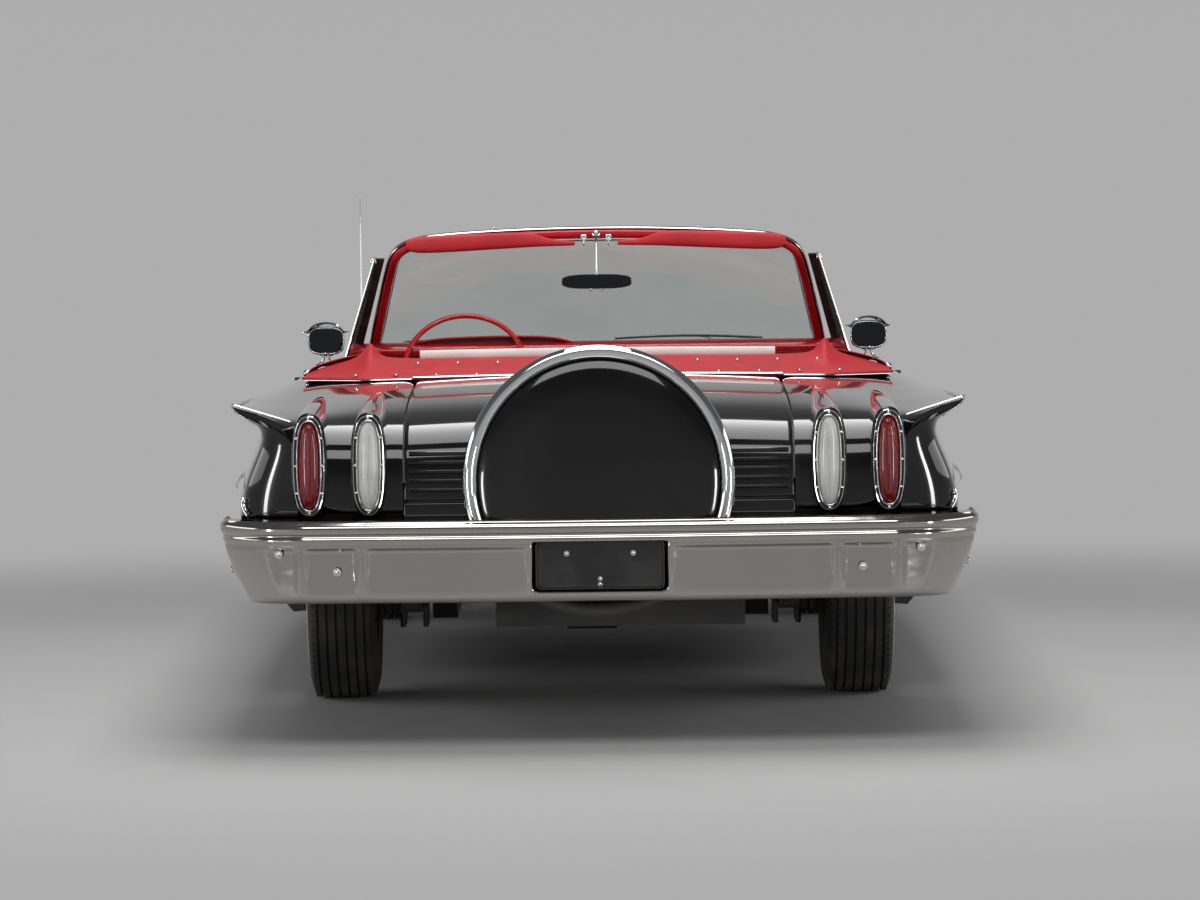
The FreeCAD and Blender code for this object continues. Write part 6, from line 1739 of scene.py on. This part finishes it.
def engine_bay():
    """Radiator, moulded hoses, battery and the boxes on the cowl."""
    core = [block((-296, 2598, 342), (296, 2660, 694), 4)]
    for i in range(24):
        x = -282 + i * 24.5
        core.append(block((x - 2, 2592, 350), (x + 2, 2600, 690), 0.5))
    fit("radiator_core", joined(core), RECESS_BLACK)
    tanks = [block((-300, 2588, 688), (300, 2668, 744), 14, 4), block((-300, 2588, 326), (300, 2668, 350), 8)]
    fit("radiator_tanks", joined(tanks), BLACK)
    cap = turned([(0, 16), (22, 15), (29, 10), (30, 2), (24, 0), (24, -8)], (-90, 2628, 746), UP, 32)
    fit("radiator_cap", cap, CHROME)
    hoses = [sweep([(0, 2140, 668), (10, 2200, 704), (50, 2300, 726), (110, 2440, 724),
                    (140, 2590, 716)], circle(21, 14)),
             sweep([(60, 2160, 480), (120, 2280, 430), (200, 2440, 392), (220, 2592, 376)], circle(24, 14)),
             block((-512, 2430, 500), (-346, 2610, 688), 6)]
    fit("bay_rubber", shaped(joined(hoses), smooth=1), RUBBER)
    posts = [turned([(0, 10), (9, 9), (11, 0), (11, -4)], (x, 2452, 692), UP, 16) for x in (-484, -374)]
    posts += [turned([(0, 7), (10, 6), (12, 0), (12, -3)], (-429, 2470 + 24 * i, 690), UP, 16)
              for i in range(6)]
    posts.append(block((-524, 2420, 486), (-334, 2622, 500), 3))
    fit("battery_metal", joined(posts), DULL_STEEL)
    cylinder = [(0, 120), (24, 118), (30, 108), (30, 30), (52, 24), (54, 0)]
    boxes = [turned([(0, 96), (84, 94), (96, 84), (98, 0)], (430, 1316, 668), AHEAD, 48),
             turned(cylinder, (-440, 1316, 690), AHEAD, 32),
             turned([(0, 44), (26, 43), (30, 36), (30, 0)], (-440, 1392, 712), UP, 28)]
    fit("cowl_boxes", joined(boxes), FRAME_BLACK)


# ---------------------------------------------------------------- parts that keep their shape
KEPT_PARTS = (
    (FRAME_BLACK, ("frame_rails", "rear_crossmember", "fuel_tank", "wheel_housings", "radiator_support",
                   "rear_axle", "leaf_springs", "front_arms")),
    (DULL_STEEL, ("door_hinges", "hood_arms", "lid_arms", "knuckle_right", "knuckle_left", "drive_shaft",
                  "exhaust")),
    (CAST, ("transmission",)),
    (BLACK, ("cowl", "rocker_panels")),
    (CARPET, ("floor_pan",)),
)


def kept_parts():
    for look, nodes in KEPT_PARTS:
        for node in nodes:
            for slot in bpy.data.objects[node].material_slots:
                slot.material = look


# ---------------------------------------------------------------- stage, light and camera
HORIZON = (0.42, 0.42, 0.42)
OVERHEAD = (0.11, 0.11, 0.115)


def stage():
    """A pale floor that fades with distance into the same pale as the background."""
    look = Look("studio_floor", {"Specular IOR Level": 0.25})
    cloud = look.noise(0.6, 4)
    look.show(colour=look.mix(cloud, (0.50, 0.50, 0.495), (0.55, 0.55, 0.545)), roughness=0.55)
    rays = look.node("ShaderNodeLightPath")
    seen = Value(look, rays.socket.node.outputs["Is Camera Ray"])
    for kind in ("Is Glossy Ray", "Is Transmission Ray"):
        seen = seen.sum_with("MAXIMUM", seen, Value(look, rays.socket.node.outputs[kind]))
    distance = look.node("ShaderNodeVectorMath", {"operation": "LENGTH"}, {0: look.place()}, "Value")
    far = look.spread(distance, 2.4, 6.4) * seen
    pale = look.node("ShaderNodeEmission", None, {"Color": HORIZON, "Strength": 1.0})
    near = Value(look, look.shader.outputs[0])
    surface = look.node("ShaderNodeMixShader", None, {0: far, 1: near, 2: pale})
    look.feed(look.tree.nodes["Material Output"].inputs["Surface"], surface)
    bm = bmesh.new()
    bmesh.ops.create_circle(bm, cap_ends=True, radius=150, segments=96)
    floor = bpy.data.objects.new("studio_floor", shaped(facing(bm, UP)))
    floor.data.materials.append(look.material)
    bpy.context.scene.collection.objects.link(floor)


def lamp(name, place, aim, wide, high, watts, spread=180):
    light = bpy.data.lights.new(name, "AREA")
    light.shape, light.size, light.size_y, light.energy = "RECTANGLE", wide, high, watts
    light.spread = math.radians(spread)
    obj = bpy.data.objects.new(name, light)
    obj.location = place
    obj.rotation_euler = (Vector(aim) - Vector(place)).to_track_quat("-Z", "Y").to_euler()
    bpy.context.scene.collection.objects.link(obj)


def studio():
    scene = bpy.context.scene
    scene.view_settings.view_transform = "Standard"
    world = bpy.data.worlds.new("studio")
    world.use_nodes = True
    sky = Nodes(world.node_tree)
    way = sky.node("ShaderNodeTexCoord", out="Generated")
    up = sky.node("ShaderNodeSeparateXYZ", None, {"Vector": way}, "Z")
    tone = sky.mix(sky.spread(up, 0.02, 0.42), HORIZON, OVERHEAD)
    sky.feed(world.node_tree.nodes["Background"].inputs["Color"], tone)
    scene.world = world
    lamp("overhead_softbox", (0, -0.6, 5.2), (0, -0.6, 0), 2.2, 6.0, 190)
    lamp("tail_softbox", (0, -7.3, 5.9), (0, -2.6, 0.8), 5.0, 2.6, 210)
    lamp("right_softbox", (6.5, -2.0, 2.6), (0, -1.4, 0.6), 8.0, 1.6, 100)
    lamp("left_softbox", (-6.5, -2.0, 2.6), (0, -1.4, 0.6), 8.0, 1.6, 100)
    for side, name in ((1, "right_strip"), (-1, "left_strip")):
        lamp(name, (side * 3.9, -7.2, 0.95), (side * 0.7, -2.8, 0.55), 0.5, 1.4, 6, 60)
    camera = bpy.data.cameras.new("camera")
    camera.lens = 162
    camera.sensor_width = 36
    camera.clip_end = 200
    obj = bpy.data.objects.new("camera", camera)
    obj.location = (0, -17.204, 1.5)
    pitch = math.atan(257.5 / 5400)
    obj.rotation_euler = (math.radians(90) - pitch, 0, math.radians(-0.014))
    obj.rotation_euler.rotate_axis("Z", math.radians(-0.7))
    scene.collection.objects.link(obj)
    scene.camera = obj


front_fenders()
doors()
rear_quarters()
hood()
trunk_lid()
ribbed_band()
lamp_pods()
tail_lamps()
wing_trim()
gravel_pan()
rear_bumper()
front_bumper()
spare()
windshield()
visors()
inside_mirror()
wipers()
boot()
vent_windows()
door_mirrors()
antenna()
dash()
steering()
engine()
engine_bay()
front_seat()
rear_seat()
rear_sides()
door_insides()
end_plates()
wheels()
nose()
side_trim()
kept_parts()
stage()
studio()
